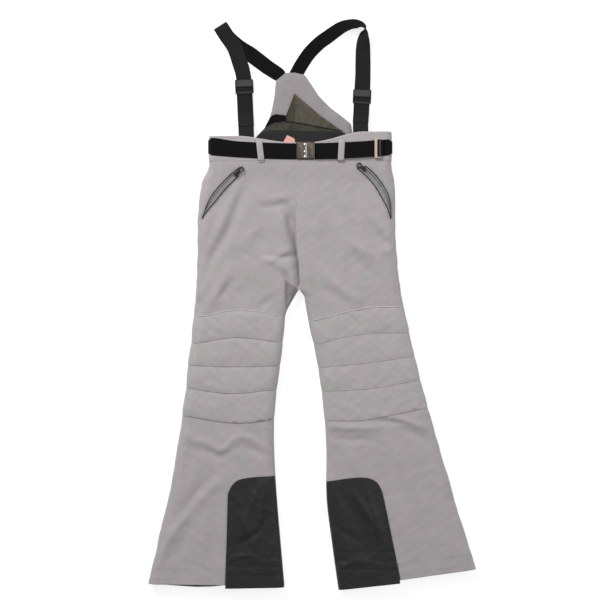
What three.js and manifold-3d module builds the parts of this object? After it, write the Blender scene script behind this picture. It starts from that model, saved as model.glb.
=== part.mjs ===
// Women's flared ski trousers with braces, laid flat on their back with the front up.
// Millimetres. +X is the wearer's left, +Y runs from the hems to the shoulders, +Z is out of the front.
// The pattern is drafted about the middle of the belt. The last lines move the origin to the middle of
// the footprint, on the surface that the trousers lie on.
// Cloth is one thickness, stacked in height: back, side panels, front, waistband, belt, belt loops.
import * as THREE from "three";
import { mergeVertices } from "three/addons/utils/BufferGeometryUtils.js";
import Module from "manifold-3d";

// Driving dimensions
const GAP = 0.4; // between pieces that are sewn together or rest on each other
const CLOTH = 3; // shell cloth, wadding and lining, sewn into one layer
const THIN = 1.2; // lining, zip tape, gaiter and mesh
const WEBBING = 1.6;
const BELT_WIDTH = 37;
const BRACE_WIDTH = 36;
const PANEL_WALL = 3.5; // width of a side panel, seen from above
const BACK = { low: 0, high: CLOTH };
const FRONT = { low: 25, high: 25 + CLOTH };
const KNEE_TOP = 34; // top of the padded knee
const BAND = { low: BACK.high + 2 * GAP, high: FRONT.high + GAP + CLOTH };
const BELT = { low: BAND.low - GAP - WEBBING, high: BAND.high + GAP + WEBBING };
const WAIST_HALF = 210; // half the width of the waistband, laid flat
const GUARD_THICKNESS = 1.5;

// Colours, roughness and metalness
const paint = (color, roughness, metalness = 0) =>
  new THREE.MeshStandardMaterial({ color, roughness, metalness });
const SHELL = paint(0xb3adb0, 0.85);
const PAD = paint(0xaeaaac, 0.85);
const GUARD = paint(0x303131, 0.6);
const BLACK_WEBBING = paint(0x191919, 0.9);
const LINING = paint(0x2b2a2c, 0.9);
const MESH_CLOTH = paint(0x5b574c, 0.9);
const ZIP_TAPE = paint(0x8f8f90, 0.7);
const ZIP_METAL = paint(0x55534f, 0.4, 0.8);
const PLASTIC = paint(0x3c3c3b, 0.45);
const GUNMETAL = paint(0x6a6258, 0.35, 0.9);
const CHROME = paint(0xc9c4be, 0.2, 1);
const LABEL = paint(0xe9b9ad, 0.8);

// Each leg's edges from the waist to the hem, as [x, y]. A seam is given by its heights at both edges.
const LEGS = {
  right: {
    outer: [[-218, -28], [-235, -140], [-238, -300], [-251, -446], [-271, -612], [-299, -777], [-350, -998]],
    inner: [[-12, -336], [-32, -373], [-44, -474], [-58, -584], [-60, -680], [-53, -805], [-36, -1002]],
    kneeTop: { outer: -384, inner: -382 },
    fold: { outer: -498, inner: -496 },
    kneeBottom: { outer: -614, inner: -620 },
    hem: { outer: -998, inner: -1002 },
    guard: [[-62, -749], [-132, -757], [-155, -770], [-164, -792], [-172, -850], [-174, -998]],
    gaiter: { x: -188, y: -930, turn: 3 },
  },
  left: {
    outer: [[214, -28], [219, -120], [219, -200], [230, -320],
      [255, -446], [299, -612], [347, -777], [404, -964]],
    inner: [[9, -336], [18, -391], [37, -474], [53, -584], [60, -695], [60, -800], [74, -915], [87, -1008]],
    kneeTop: { outer: -363, inner: -386 },
    fold: { outer: -475, inner: -501 },
    kneeBottom: { outer: -593, inner: -623 },
    hem: { outer: -964, inner: -1008 },
    guard: [[62, -757], [153, -754], [179, -768], [192, -798], [206, -864], [226, -980]],
    gaiter: { x: 229, y: -915, turn: 12 },
  },
};
const WAIST_SEAM = -31;
const CENTRE_SEAM = [[-10, WAIST_SEAM], [-10, -130], [-7, -230], [-3, -322]];
const GAITER = { halfWidth: 112, halfLength: 50, low: 6, high: 21 };

// Waistband and belt, both a little higher at the sides
const bandTop = (x) => 16 + (x < 0 ? 15 : 25) * THREE.MathUtils.smoothstep(Math.abs(x), 20, 150);
const bandBottom = (x) => -30 + 2 * (x / WAIST_HALF) ** 2;
const beltMiddle = (x) => -5 + 10 * (x / WAIST_HALF) ** 2;
const LOOPS = { x: [-92, 94], width: 15, bar: THIN };
const SLIT = -10; // where the waistband opens, on the centre seam
const CLASP = { x: 12, y: -3, size: 42, hinge: 33 };
const FREE_END = { from: 36, to: 190, low: BELT.high + 2 * GAP + THIN };
const BELT_SLIDER = { x: 178, length: 16 };
const FLY = { top: -42, length: 98, behind: 18 };

// A pocket zip is an arc through three points, from its slider down
const POCKETS = {
  right: {
    arc: [[-141, -52], [-197, -110], [-226, -160]],
    width: { top: 17, bottom: 5 },
    pull: { ring: -14.5, radius: 7 },
    bag: [[-211, -62], [-226, -200], [-124, -212], [-112, -66]],
  },
  left: {
    arc: [[140, -41], [189, -97], [208, -160]],
    width: { top: 17, bottom: 5 },
    pull: { ring: -13.5, radius: 6 },
    bag: [[202, -60], [211, -200], [112, -212], [104, -66]],
  },
};

// Braces: from inside the waistband to the shoulder fold, and from there down to the yoke.
// Points are [x, y, height of the underside].
const OVER = 2.4;
const UNDER = 0.3;
const BRACES = {
  right: {
    front: [[-124, 48, 20], [-124.6, 62, 12], [-125.6, 78, 4], [-126.3, 92, OVER], [-129, 146, OVER],
      [-131, 186, OVER], [-145, 226, OVER], [-164, 256, OVER], [-180, 279, OVER]],
    rear: [[-178, 276, UNDER], [-163, 253, UNDER], [-138, 230, UNDER],
      [-108, 207, UNDER], [-64, 178, UNDER]],
    adjuster: { x: -129, y: 146, turn: 2.8 },
  },
  left: {
    front: [[139, 48, 20], [139.6, 62, 12], [140.4, 78, 4], [141, 92, OVER], [142.4, 123, OVER],
      [145.2, 186, OVER], [147, 221, OVER], [149, 250, OVER], [146, 279, OVER]],
    rear: [[139, 278, UNDER], [115, 282, UNDER], [87, 273, UNDER], [59, 257, UNDER], [34, 237, UNDER],
      [11, 207, UNDER], [0, 182, UNDER]],
    adjuster: { x: 142.4, y: 123, turn: -2.5 },
  },
};
const ADJUSTER = { width: 42, length: 32, bar: 5 };

const wasm = await Module();
wasm.setup();
const garment = new THREE.Group();

function add(name, geometry, material) {
  const mesh = new THREE.Mesh(geometry, material);
  mesh.name = name;
  garment.add(mesh);
  return mesh;
}

const points2 = (list) => list.map(([x, y]) => new THREE.Vector2(x, y));
const span = (count, make) => Array.from({ length: count + 1 }, (_, i) => make(i / count));

function box(width, length, height, x, y, z) {
  return new THREE.BoxGeometry(width, length, height).translate(x, y, z);
}

// A plate with the given outline, seen from above
function plate(outline, low, high) {
  const shape = new THREE.Shape(outline);
  return new THREE.ExtrudeGeometry(shape, { depth: high - low, bevelEnabled: false }).translate(0, 0, low);
}

// Closed geometry to a solid and back, for joins and cuts
function solid(geometry) {
  const bare = new THREE.BufferGeometry().setAttribute("position", geometry.getAttribute("position"));
  if (geometry.index) bare.setIndex(geometry.index);
  const merged = mergeVertices(bare, 1e-4);
  const mesh = new wasm.Mesh({
    numProp: 3,
    vertProperties: merged.attributes.position.array,
    triVerts: new Uint32Array(merged.index.array),
  });
  return new wasm.Manifold(mesh);
}

const solidBox = (...size) => solid(box(...size));

function geometryOf(body) {
  const mesh = body.getMesh();
  return new THREE.BufferGeometry()
    .setAttribute("position", new THREE.BufferAttribute(new Float32Array(mesh.vertProperties), 3))
    .setIndex(new THREE.BufferAttribute(new Uint32Array(mesh.triVerts), 1));
}

// A bar that follows a row of sections of four corners each, capped at both ends
function loft(sections) {
  const index = [0, 2, 1, 0, 3, 2];
  const last = 4 * (sections.length - 1);
  for (let row = 0; row < last; row += 4) {
    for (let k = 0; k < 4; k++) {
      const turn = (k + 1) % 4;
      const [a, b, c, d] = [row + k, row + turn, row + 4 + turn, row + 4 + k];
      index.push(a, b, c, a, c, d);
    }
  }
  index.push(last, last + 1, last + 2, last, last + 2, last + 3);
  const flat = new Float32Array(sections.flat().flatMap((p) => p.toArray()));
  return new THREE.BufferGeometry()
    .setAttribute("position", new THREE.BufferAttribute(flat, 3))
    .setIndex(index);
}

// One edge of a leg, as a function that gives its run of points between two heights
function edge(list) {
  const samples = new THREE.SplineCurve(points2(list)).getPoints(120);
  const at = (y) => {
    const below = samples.findIndex((p) => p.y <= y);
    const i = below < 0 ? samples.length - 1 : Math.max(1, below);
    const [a, b] = [samples[i - 1], samples[i]];
    return a.x + ((b.x - a.x) * (y - a.y)) / (b.y - a.y);
  };
  const spacing = 38;
  return (from, to, inset = 0) => {
    const steps = Math.max(2, Math.round(Math.abs(to - from) / spacing));
    return span(steps, (share) => {
      const y = from + (to - from) * share;
      return new THREE.Vector2(at(y) + inset, y);
    });
  };
}

const lowered = (seam) => ({ outer: seam.outer - GAP, inner: seam.inner - GAP });

// The stretch of a leg between two seams
function legBand({ outerEdge, innerEdge }, top, bottom) {
  return [...outerEdge(top.outer, bottom.outer), ...innerEdge(bottom.inner, top.inner)];
}

// A narrow panel that follows one edge and joins the back to the front
function sidePanel(name, curve, from, to, inset) {
  const outline = [...curve(from, to), ...curve(to, from, inset)];
  add(name, plate(outline, BACK.high + GAP, FRONT.low - GAP), SHELL);
}

// The upper part of a leg, from the waist to a seam, with the centre seam as its inner side
function upperOutline(side, { outerEdge, innerEdge, inner }, waist, seam) {
  const apart = side === "right" ? -GAP / 2 : GAP / 2;
  const centre = CENTRE_SEAM.map(([x, y]) => new THREE.Vector2(x + apart, Math.min(y, waist)));
  return [...outerEdge(waist, seam.outer), ...innerEdge(seam.inner, inner[0][1]), ...centre.reverse()];
}

function makeLeg(side, shape) {
  const inward = side === "right" ? 1 : -1;
  const leg = { ...shape, outerEdge: edge(shape.outer), innerEdge: edge(shape.inner) };
  const { outerEdge, innerEdge, kneeTop, fold, kneeBottom, hem } = leg;
  const crotch = leg.inner[0][1];
  const below = lowered(fold);
  const wall = inward * PANEL_WALL;
  const frontOutline = upperOutline(side, leg, WAIST_SEAM, kneeTop);
  const backOutline = upperOutline(side, leg, WAIST_SEAM, fold);

  add(`${side}_front_panel`, plate(frontOutline, FRONT.low, FRONT.high), SHELL);
  add(`${side}_back_panel`, plate(backOutline, BACK.low, BACK.high), SHELL);
  sidePanel(`${side}_thigh_outer_side`, outerEdge, WAIST_SEAM, fold.outer, wall);
  sidePanel(`${side}_thigh_inner_side`, innerEdge, crotch, fold.inner, -wall);

  add(`${side}_knee_pad_upper`, plate(legBand(leg, lowered(kneeTop), fold), FRONT.low, KNEE_TOP), PAD);
  add(`${side}_knee_pad_lower`, plate(legBand(leg, below, kneeBottom), FRONT.low, KNEE_TOP), PAD);
  add(`${side}_shin_panel`, plate(legBand(leg, lowered(kneeBottom), hem), FRONT.low, FRONT.high), SHELL);
  add(`${side}_calf_panel`, plate(legBand(leg, below, hem), BACK.low, BACK.high), SHELL);
  sidePanel(`${side}_lower_outer_side`, outerEdge, below.outer, hem.outer, wall);
  sidePanel(`${side}_lower_inner_side`, innerEdge, below.inner, hem.inner, -wall);
  makeGuard(side, leg);
  makeGaiter(side, leg.gaiter);
}

// Guard against ski edges, on the inner half of the lower leg
function makeGuard(side, { guard, innerEdge }) {
  const [top, bottom] = [guard[0][1], guard.at(-1)[1] - 4];
  const outline = [...points2(guard), ...innerEdge(bottom, top)];
  const low = FRONT.high + GAP;
  add(`${side}_scuff_guard`, plate(outline, low, low + GUARD_THICKNESS), GUARD);
}

// Elastic sleeve inside the hem, that closes over the boot
function makeGaiter(side, { x, y, turn }) {
  const { halfWidth, halfLength, low, high } = GAITER;
  const radius = (high - low) / 2;
  const ring = (inset) => {
    const end = new THREE.Shape().absarc(halfWidth - radius, 0, radius - inset, -Math.PI / 2, Math.PI / 2);
    return end.absarc(radius - halfWidth, 0, radius - inset, Math.PI / 2, (3 * Math.PI) / 2);
  };
  const outline = ring(0);
  outline.holes.push(ring(THIN));
  const extent = { depth: 2 * halfLength, bevelEnabled: false, curveSegments: 8 };
  const tube = new THREE.ExtrudeGeometry(outline, extent).translate(0, 0, -halfLength);
  const sleeve = add(`${side}_gaiter`, tube.rotateX(Math.PI / 2), LINING);
  sleeve.position.set(x, y, (low + high) / 2);
  sleeve.rotation.z = THREE.MathUtils.degToRad(turn);
}

// A flat band round the waist, open at the front between two places
function waistRing({ halfWidth, low, high, wall, openFrom, openTo, top, bottom }) {
  const radius = (high - low) / 2;
  const middle = (high + low) / 2;
  const straight = halfWidth - radius;
  const line = (from, to, z, out) => {
    const steps = Math.max(2, Math.round(Math.abs(to - from) / 26));
    return span(steps, (share) => ({ x: from + (to - from) * share, z, out: [0, out] }));
  };
  const turn = (side) =>
    span(6, (share) => {
      const angle = Math.PI * share;
      const out = [Math.sin(angle) * side, Math.cos(angle) * side];
      return { x: side * straight + radius * out[0], z: middle + radius * out[1], out };
    });
  const route = [
    ...line(openTo, straight, high, 1).slice(0, -1),
    ...turn(1).slice(0, -1),
    ...line(straight, -straight, low, -1).slice(0, -1),
    ...turn(-1).slice(0, -1),
    ...line(-straight, openFrom, high, 1),
  ];
  return loft(
    route.map(({ x, z, out }) => [
      new THREE.Vector3(x, top(x), z),
      new THREE.Vector3(x, bottom(x), z),
      new THREE.Vector3(x - out[0] * wall, bottom(x), z - out[1] * wall),
      new THREE.Vector3(x - out[0] * wall, top(x), z - out[1] * wall),
    ]),
  );
}

// Waistband, the hook and bar behind its slit, and the label sewn inside its back
function makeWaistband() {
  const slit = { openFrom: SLIT - GAP / 2, openTo: SLIT + GAP / 2 };
  const band = { halfWidth: WAIST_HALF, ...BAND, wall: CLOTH, ...slit, top: bandTop, bottom: bandBottom };
  add("waistband", waistRing(band), SHELL);
  const underBand = BAND.high - CLOTH - GAP - THIN / 2;
  add("waist_hook", box(14, 12, THIN, SLIT + 13, -6, underBand), CHROME);
  add("waist_bar", box(14, 5, THIN, SLIT - 13, -6, underBand), CHROME);
  const label = points2([[-40, -12], [-16, -16], [-11, 24], [-26, 34], [-36, 24]]);
  const low = BAND.low + CLOTH + 2 * GAP;
  add("care_label", plate(label, low, low + THIN / 2), LABEL);
}

// Belt, its free end doubled back, and the slider that holds the free end
function makeBelt() {
  const half = BELT_WIDTH / 2;
  add(
    "belt",
    waistRing({
      halfWidth: WAIST_HALF + GAP + WEBBING,
      ...BELT,
      wall: WEBBING,
      openFrom: CLASP.x - CLASP.size / 2 - GAP,
      openTo: CLASP.x + CLASP.size / 2 + GAP,
      top: (x) => beltMiddle(x) + half,
      bottom: (x) => beltMiddle(x) - half,
    }),
    BLACK_WEBBING,
  );
  const { from, to, low } = FREE_END;
  const run = (start, end, offset) =>
    span(7, (share) => {
      const x = start + (end - start) * share;
      return new THREE.Vector2(x, beltMiddle(x) + offset);
    });
  const outline = [...run(from, to, -half), ...run(to, from, half)];
  add("belt_free_end", plate(outline, low, low + WEBBING), BLACK_WEBBING);

  const { x, length } = BELT_SLIDER;
  const height = 2 * THIN + WEBBING + 3 * GAP;
  const room = { height: WEBBING + 2 * GAP, width: BELT_WIDTH + 3 };
  const body = solidBox(length, room.width + 5, height, 0, 0, height / 2);
  const slot = solidBox(length + 2, room.width, room.height, 0, 0, THIN + room.height / 2);
  const slider = add("belt_slider", geometryOf(body.subtract(slot)), CHROME);
  slider.position.set(x, beltMiddle(x), low - GAP - THIN);
}

// A loop bridges the belt: a bar over it and a foot at each end
function makeLoop(name, x, { inside, outside, foot }) {
  const reach = BELT_WIDTH / 2 + 1.5;
  const outer = reach + 2.5;
  const middle = beltMiddle(x);
  const [low, high] = [Math.min(inside, outside), Math.max(inside, outside)];
  const bar = solidBox(LOOPS.width, 2 * outer, high - low, x, middle, (low + high) / 2);
  const footHeight = Math.abs(outside - foot);
  const footAt = (side) => {
    const y = middle + (side * (outer + reach)) / 2;
    return solidBox(LOOPS.width, outer - reach, footHeight, x, y, (outside + foot) / 2);
  };
  add(name, geometryOf(bar.add(footAt(1)).add(footAt(-1))), SHELL);
}

function makeLoops() {
  const overFreeEnd = FREE_END.low + WEBBING + GAP;
  const front = { inside: overFreeEnd, outside: overFreeEnd + LOOPS.bar, foot: BAND.high + GAP };
  const back = { inside: BELT.low - GAP, outside: BELT.low - GAP - LOOPS.bar, foot: BAND.low - GAP };
  ["right", "left"].forEach((side, i) => {
    makeLoop(`${side}_front_belt_loop`, LOOPS.x[i], front);
    makeLoop(`${side}_back_belt_loop`, LOOPS.x[i], back);
  });
}

// Two-plate clasp: the hook plate swings on its outer edge, and its hook drops into the base plate's slot
function makeClasp() {
  const { x, y, size, hinge } = CLASP;
  const base = BAND.high + GAP;
  const plateHeight = 1.4;
  const slot = { width: 7, length: 24 };
  const hook = { width: 3, length: 18 };
  const under = solidBox(size, size, plateHeight, x, y, base + plateHeight / 2);
  const opening = solidBox(slot.width, slot.length, 2 * plateHeight, x, y, base + plateHeight / 2);
  add("clasp_base_plate", geometryOf(under.subtract(opening)), GUNMETAL);

  const low = base + plateHeight + GAP;
  const over = solidBox(size - 2, size - 3, 1.6, x, y, low + 0.8);
  const rib = solidBox(hook.width, hook.length + 14, 1.8, x, y, low + 2);
  const tongue = solidBox(hook.width, hook.length, 2.2, x, y, low - 0.5);
  const pin = new THREE.CylinderGeometry(1.3, 1.3, size - 3, 16);
  const knuckle = solid(pin.translate(hinge - 1, y, low + 1.3));
  add("clasp_hook_plate", geometryOf(over.add(rib).add(tongue).add(knuckle)), GUNMETAL);
}

// Fly: shield, zip tape and slider, all behind the front panels
function makeFly() {
  const { top, length, behind } = FLY;
  const middle = top - length / 2;
  add("fly_shield", box(46, length + 6, THIN, SLIT, middle, behind), SHELL);
  add("fly_zip", box(26, length, THIN, SLIT, middle, behind + THIN + GAP), ZIP_TAPE);
  const low = behind + 1.5 * THIN + 2 * GAP;
  const y = top - 9;
  const body = solidBox(8, 11, 2, SLIT, y, low + 1);
  const neck = solidBox(3, 5, 1, SLIT, y - 3, low + 2.2);
  const tab = solidBox(5, 20, 1, SLIT, y - 11, low + 3);
  add("fly_slider", geometryOf(body.add(neck).add(tab)), ZIP_METAL);
}

// Centre, radius, start and sweep of the circle through three points
function circleThrough([a, b, c]) {
  const d = 2 * (a.x * (b.y - c.y) + b.x * (c.y - a.y) + c.x * (a.y - b.y));
  const [sa, sb, sc] = [a.lengthSq(), b.lengthSq(), c.lengthSq()];
  const centre = new THREE.Vector2(
    (sa * (b.y - c.y) + sb * (c.y - a.y) + sc * (a.y - b.y)) / d,
    (sa * (c.x - b.x) + sb * (a.x - c.x) + sc * (b.x - a.x)) / d,
  );
  const angle = (p) => Math.atan2(p.y - centre.y, p.x - centre.x);
  const turn = angle(c) - angle(a);
  const sweep = Math.atan2(Math.sin(turn), Math.cos(turn));
  return { centre, radius: centre.distanceTo(a), start: angle(a), sweep };
}

function makePocket(side, { arc, width, pull, bag }) {
  const { centre, radius, start, sweep } = circleThrough(points2(arc));
  const spot = (share, offset) => {
    const angle = start + sweep * share;
    const reach = radius + offset * THREE.MathUtils.lerp(width.top, width.bottom, share);
    return new THREE.Vector2(centre.x + reach * Math.cos(angle), centre.y + reach * Math.sin(angle));
  };
  const tapeTop = FRONT.high + GAP + THIN;
  const outline = [...span(12, (share) => spot(share, 0.5)), ...span(12, (share) => spot(1 - share, -0.5))];
  add(`${side}_pocket_zip`, plate(outline, FRONT.high + GAP, tapeTop), ZIP_TAPE);

  // The slider's bridge runs along the zip. The pull turns about a pin under it and lies towards the top.
  const at = spot(0.05, 0);
  const ahead = spot(0.1, 0).sub(at);
  const heading = Math.atan2(ahead.y, ahead.x) + Math.PI / 2;
  const body = { width: 8, length: 12, height: 2.4 };
  const room = 2.6; // between the slider's body and its bridge
  const thick = 1.2;
  const post = (y) => solidBox(2, 1.6, room + thick, 0, y, body.height + (room + thick) / 2);
  const bridge = solidBox(2, body.length, thick, 0, 0, body.height + room + thick / 2);
  const slider = solidBox(body.width, body.length, body.height, 0, 0, body.height / 2)
    .add(post(5.2))
    .add(post(-5.2))
    .add(bridge);
  const low = tapeTop + GAP;
  const top = add(`${side}_pocket_slider`, geometryOf(slider), ZIP_METAL);
  top.position.set(at.x, at.y, low);
  top.rotation.z = heading;

  const pin = thick;
  const arm = solidBox(7, 11, thick, 0, (pin - 11) / 2, 0);
  const eye = solidBox(4, 8, 2 * thick, 0, -pin / 2 - 4, 0);
  const disc = (size, height) =>
    solid(
      new THREE.CylinderGeometry(size, size, height, 24).rotateX(Math.PI / 2).translate(0, pull.ring, 0),
    );
  const ring = disc(pull.radius, thick).add(arm).subtract(disc(pull.radius - 2.6, 2 * thick)).subtract(eye);
  const tab = add(`${side}_pocket_pull`, geometryOf(ring), ZIP_METAL);
  tab.position.set(at.x, at.y, low + body.height + room / 2);
  tab.rotation.z = heading + Math.PI;

  const bagTop = FRONT.low - GAP;
  add(`${side}_pocket_bag`, plate(points2(bag), bagTop - THIN, bagTop), LINING);
}

// Back yoke with mesh in its fork, and the elastic facing at its foot
function makeYoke() {
  const low = BAND.low;
  const yoke = points2([
    [-57, 157], [-31, 178], [10, 174], [44, 123], [71, 96], [98, 76], [117, 60], [119, 46],
    [101, 42], [44, 81], [-13, 130], [-32, 81], [-60, 44], [-100, 44], [-68, 81],
  ]);
  add("back_yoke", plate(yoke, low, low + 2), SHELL);
  const mesh = points2([[-13, 128.5], [-31, 80.5], [-56, 42], [-40, 34], [30, 34], [99, 42], [43, 79.5]]);
  add("back_mesh", plate(mesh, low, low + THIN), MESH_CLOTH);
  const facing = points2([
    [-100, 31], [-84, 62], [-68, 82], [-38, 78], [-36, 64], [50, 52],
    [101, 43], [102, 36], [60, 26], [0, 19], [-60, 26],
  ]);
  add("back_elastic", plate(facing, low + 2 + GAP, low + 2 + GAP + THIN), LINING);
}

// Webbing that follows a route with its flat side up
function ribbon(route) {
  const points = route.map((p) => new THREE.Vector3(...p));
  const curve = new THREE.CatmullRomCurve3(points, false, "centripetal");
  const up = new THREE.Vector3(0, 0, 1);
  return loft(
    span(24, (share) => {
      const centre = curve.getPointAt(share);
      const ahead = curve.getTangentAt(share).setZ(0).normalize();
      const across = new THREE.Vector3().crossVectors(ahead, up).multiplyScalar(BRACE_WIDTH / 2);
      const [right, left] = [centre.clone().add(across), centre.clone().sub(across)];
      return [right, left, left.clone().setZ(left.z + WEBBING), right.clone().setZ(right.z + WEBBING)];
    }),
  );
}

// Three-bar slider: two bars over the webbing, one under it, and a rail at each side
function makeAdjuster(side, { x, y, turn }) {
  const { width, length, bar } = ADJUSTER;
  const rail = (width - BRACE_WIDTH) / 2 - 1;
  const over = { low: OVER + WEBBING + 0.6, high: 6.8 };
  const under = { low: 0.4, high: OVER - 0.6 };
  const whole = { low: under.low, high: over.high };
  const block = (wide, long, right, up, { low, high }) =>
    solidBox(wide, long, high - low, right, up, (low + high) / 2);
  const body = block(width, 2 * bar, 0, length / 2 - bar, over)
    .add(block(width, bar, 0, (bar - length) / 2, over))
    .add(block(width, bar, 0, -3, under))
    .add(block(rail, length, (width - rail) / 2, 0, whole))
    .add(block(rail, length, (rail - width) / 2, 0, whole));
  const slider = add(`${side}_brace_adjuster`, geometryOf(body), PLASTIC);
  slider.position.set(x, y, 0);
  slider.rotation.z = THREE.MathUtils.degToRad(turn);
}

function makeBraces(side, { front, rear, adjuster }) {
  add(`${side}_front_brace`, ribbon(front), BLACK_WEBBING);
  add(`${side}_rear_brace`, ribbon(rear), BLACK_WEBBING);
  const underBand = BAND.high - CLOTH - GAP - WEBBING / 2;
  add(`${side}_brace_anchor`, box(BRACE_WIDTH, 48, WEBBING, front[0][0], 8, underBand), BLACK_WEBBING);
  makeAdjuster(side, adjuster);
}

for (const [side, leg] of Object.entries(LEGS)) makeLeg(side, leg);
makeWaistband();
makeBelt();
makeLoops();
makeClasp();
makeFly();
for (const [side, pocket] of Object.entries(POCKETS)) makePocket(side, pocket);
makeYoke();
for (const [side, brace] of Object.entries(BRACES)) makeBraces(side, brace);

// The origin goes to the middle of the footprint, with the lowest surface at zero
const part = new THREE.Group();
part.add(garment);
part.updateMatrixWorld(true);
const footprint = new THREE.Box3().setFromObject(garment, true);
const middle = footprint.getCenter(new THREE.Vector3());
garment.position.set(-middle.x, -middle.y, -footprint.min.z);

export default part;
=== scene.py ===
"""Women's flared ski trousers with braces, laid flat on a pale floor and seen from straight above.

Lengths are in millimetres until a piece is made, and the pattern's origin is the middle of the belt.
"""

import math

import bpy
import numpy as np
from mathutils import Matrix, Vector
from mathutils.geometry import delaunay_2d_cdt


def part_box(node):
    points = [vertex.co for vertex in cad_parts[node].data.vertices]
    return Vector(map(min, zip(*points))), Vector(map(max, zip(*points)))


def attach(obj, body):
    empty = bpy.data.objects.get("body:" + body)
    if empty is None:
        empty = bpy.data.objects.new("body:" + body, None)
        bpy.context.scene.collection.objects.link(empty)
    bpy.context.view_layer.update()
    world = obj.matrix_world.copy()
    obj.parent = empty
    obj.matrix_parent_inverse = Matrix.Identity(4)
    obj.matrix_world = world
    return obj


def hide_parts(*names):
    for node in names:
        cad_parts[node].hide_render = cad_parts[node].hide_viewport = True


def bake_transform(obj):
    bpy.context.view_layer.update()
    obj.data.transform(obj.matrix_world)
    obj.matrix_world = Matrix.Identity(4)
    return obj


MM = 0.001
CLASP = (12.0, -3.0)  # the clasp's middle in the pattern
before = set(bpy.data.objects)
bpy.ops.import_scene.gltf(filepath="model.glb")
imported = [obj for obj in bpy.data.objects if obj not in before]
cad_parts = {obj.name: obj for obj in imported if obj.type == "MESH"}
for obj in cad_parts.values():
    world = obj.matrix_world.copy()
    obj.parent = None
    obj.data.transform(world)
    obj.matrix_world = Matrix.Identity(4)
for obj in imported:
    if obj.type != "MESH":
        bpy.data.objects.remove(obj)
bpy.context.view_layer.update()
low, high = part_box("clasp_base_plate")
SHIFT = np.array([(low.x + high.x) / 2 / MM - CLASP[0], (low.y + high.y) / 2 / MM - CLASP[1], 0])

MIDDLE, TOP, BOTTOM = 14.0, 27.6, 0.6  # heights of a leg's edge, front and back
SLIT = -10.0  # the waistband's opening, on the centre seam
WAIST_HALF, WAIST_BACK, WAIST_FRONT = 210.0, 3.8, 31.4  # half the waistband's width, and its faces' heights
BELT_WIDTH, BELT_THICK = 37.0, 1.6
YOKE_REST = 3.8  # height that the yoke's layers are stacked on


# ---------------------------------------------------------------- numbers and curves


def ramp(x, a, b):
    """0 before a, 1 after b, smooth between."""
    t = np.clip((np.asarray(x, float) - a) / (b - a), 0, 1)
    return t * t * (3 - 2 * t)


def smooth_path(points, step=4.0):
    """A curve through the points, as points about step apart."""
    p = np.asarray(points, float)
    p = np.vstack([2 * p[0] - p[1], p, 2 * p[-1] - p[-2]])
    out = []
    for a, b, c, d in zip(p, p[1:], p[2:], p[3:]):
        t = np.linspace(0, 1, max(2, int(np.linalg.norm(c - b) / step)), endpoint=False)[:, None]
        bow, twist = 2 * a - 5 * b + 4 * c - d, 3 * b - a - 3 * c + d
        out.append(0.5 * (2 * b + (c - a) * t + bow * t**2 + twist * t**3))
    return np.vstack([*out, p[-2][None]])


def spread(count, bunched):
    """Steps from 0 to 1 that are closer together at both ends."""
    even = np.linspace(0, 1, count)
    return (1 - bunched) * even + bunched * (0.5 - 0.5 * np.cos(math.pi * even))


def unit(vectors):
    """Each row as a vector one unit long."""
    return vectors / (np.linalg.norm(vectors, axis=1)[:, None] + 1e-9)


def resample(path, count):
    """A path as a number of evenly spaced points."""
    p = np.asarray(path, float)
    along = np.concatenate([[0], np.cumsum(np.linalg.norm(np.diff(p, axis=0), axis=1))])
    at = np.linspace(0, along[-1], count)
    return np.stack([np.interp(at, along, p[:, k]) for k in range(p.shape[1])], axis=1)


def near_path(x, y, path):
    """Distance of each point from a path, and how far along the path it is, from 0 to 1."""
    p = np.asarray(path, float)
    lengths = np.linalg.norm(np.diff(p, axis=0), axis=1)
    start = np.concatenate([[0], np.cumsum(lengths)])
    best, share = np.full(np.shape(x), 1e9), np.zeros(np.shape(x))
    for i, (a, b) in enumerate(zip(p, p[1:])):
        d = b - a
        t = np.clip(((x - a[0]) * d[0] + (y - a[1]) * d[1]) / (d @ d), 0, 1)
        away = np.hypot(x - a[0] - t * d[0], y - a[1] - t * d[1])
        closer = away < best
        best = np.where(closer, away, best)
        share = np.where(closer, (start[i] + t * lengths[i]) / start[-1], share)
    return best, share


def speckle(x, y, size, seed=0.0):
    """Smooth noise between about -1 and 1, with features of that size."""
    u, v = np.asarray(x, float) / size + 17.3 * seed, np.asarray(y, float) / size - 9.1 * seed
    i, j = np.floor(u), np.floor(v)
    f, g = u - i, v - j

    def corner(di, dj):
        turn = np.sin((i + di) * 127.1 + (j + dj) * 311.7) * 437.5453
        turn = (turn - np.floor(turn)) * 2 * math.pi
        return np.cos(turn) * (f - di) + np.sin(turn) * (g - dj)

    a, b = f * f * f * (f * (6 * f - 15) + 10), g * g * g * (g * (6 * g - 15) + 10)
    near = corner(0, 0) * (1 - a) + corner(1, 0) * a
    far = corner(0, 1) * (1 - a) + corner(1, 1) * a
    return 1.6 * (near * (1 - b) + far * b)


def rounded(distance, radius):
    """Height share of a rolled edge, from 0 at the edge to 1 a radius in."""
    away = np.clip(1 - np.asarray(distance, float) / radius, 0, 1)
    return np.sqrt(1 - away * away)


# ---------------------------------------------------------------- meshes


def grid(rows, cols, closed=False):
    """Faces between rows of points, joined round at the sides when closed."""
    r = np.arange(rows - 1)[:, None] * cols
    c = np.arange(cols if closed else cols - 1)
    n = (c + 1) % cols
    return np.stack([r + c, r + n, r + cols + n, r + cols + c], -1).reshape(-1, 4).tolist()


def capped(rows, cols):
    """A closed tube of rows, with both ends filled."""
    first, last = list(range(cols)), [(rows - 1) * cols + i for i in range(cols)]
    return grid(rows, cols, closed=True) + [first[::-1], last]


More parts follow.
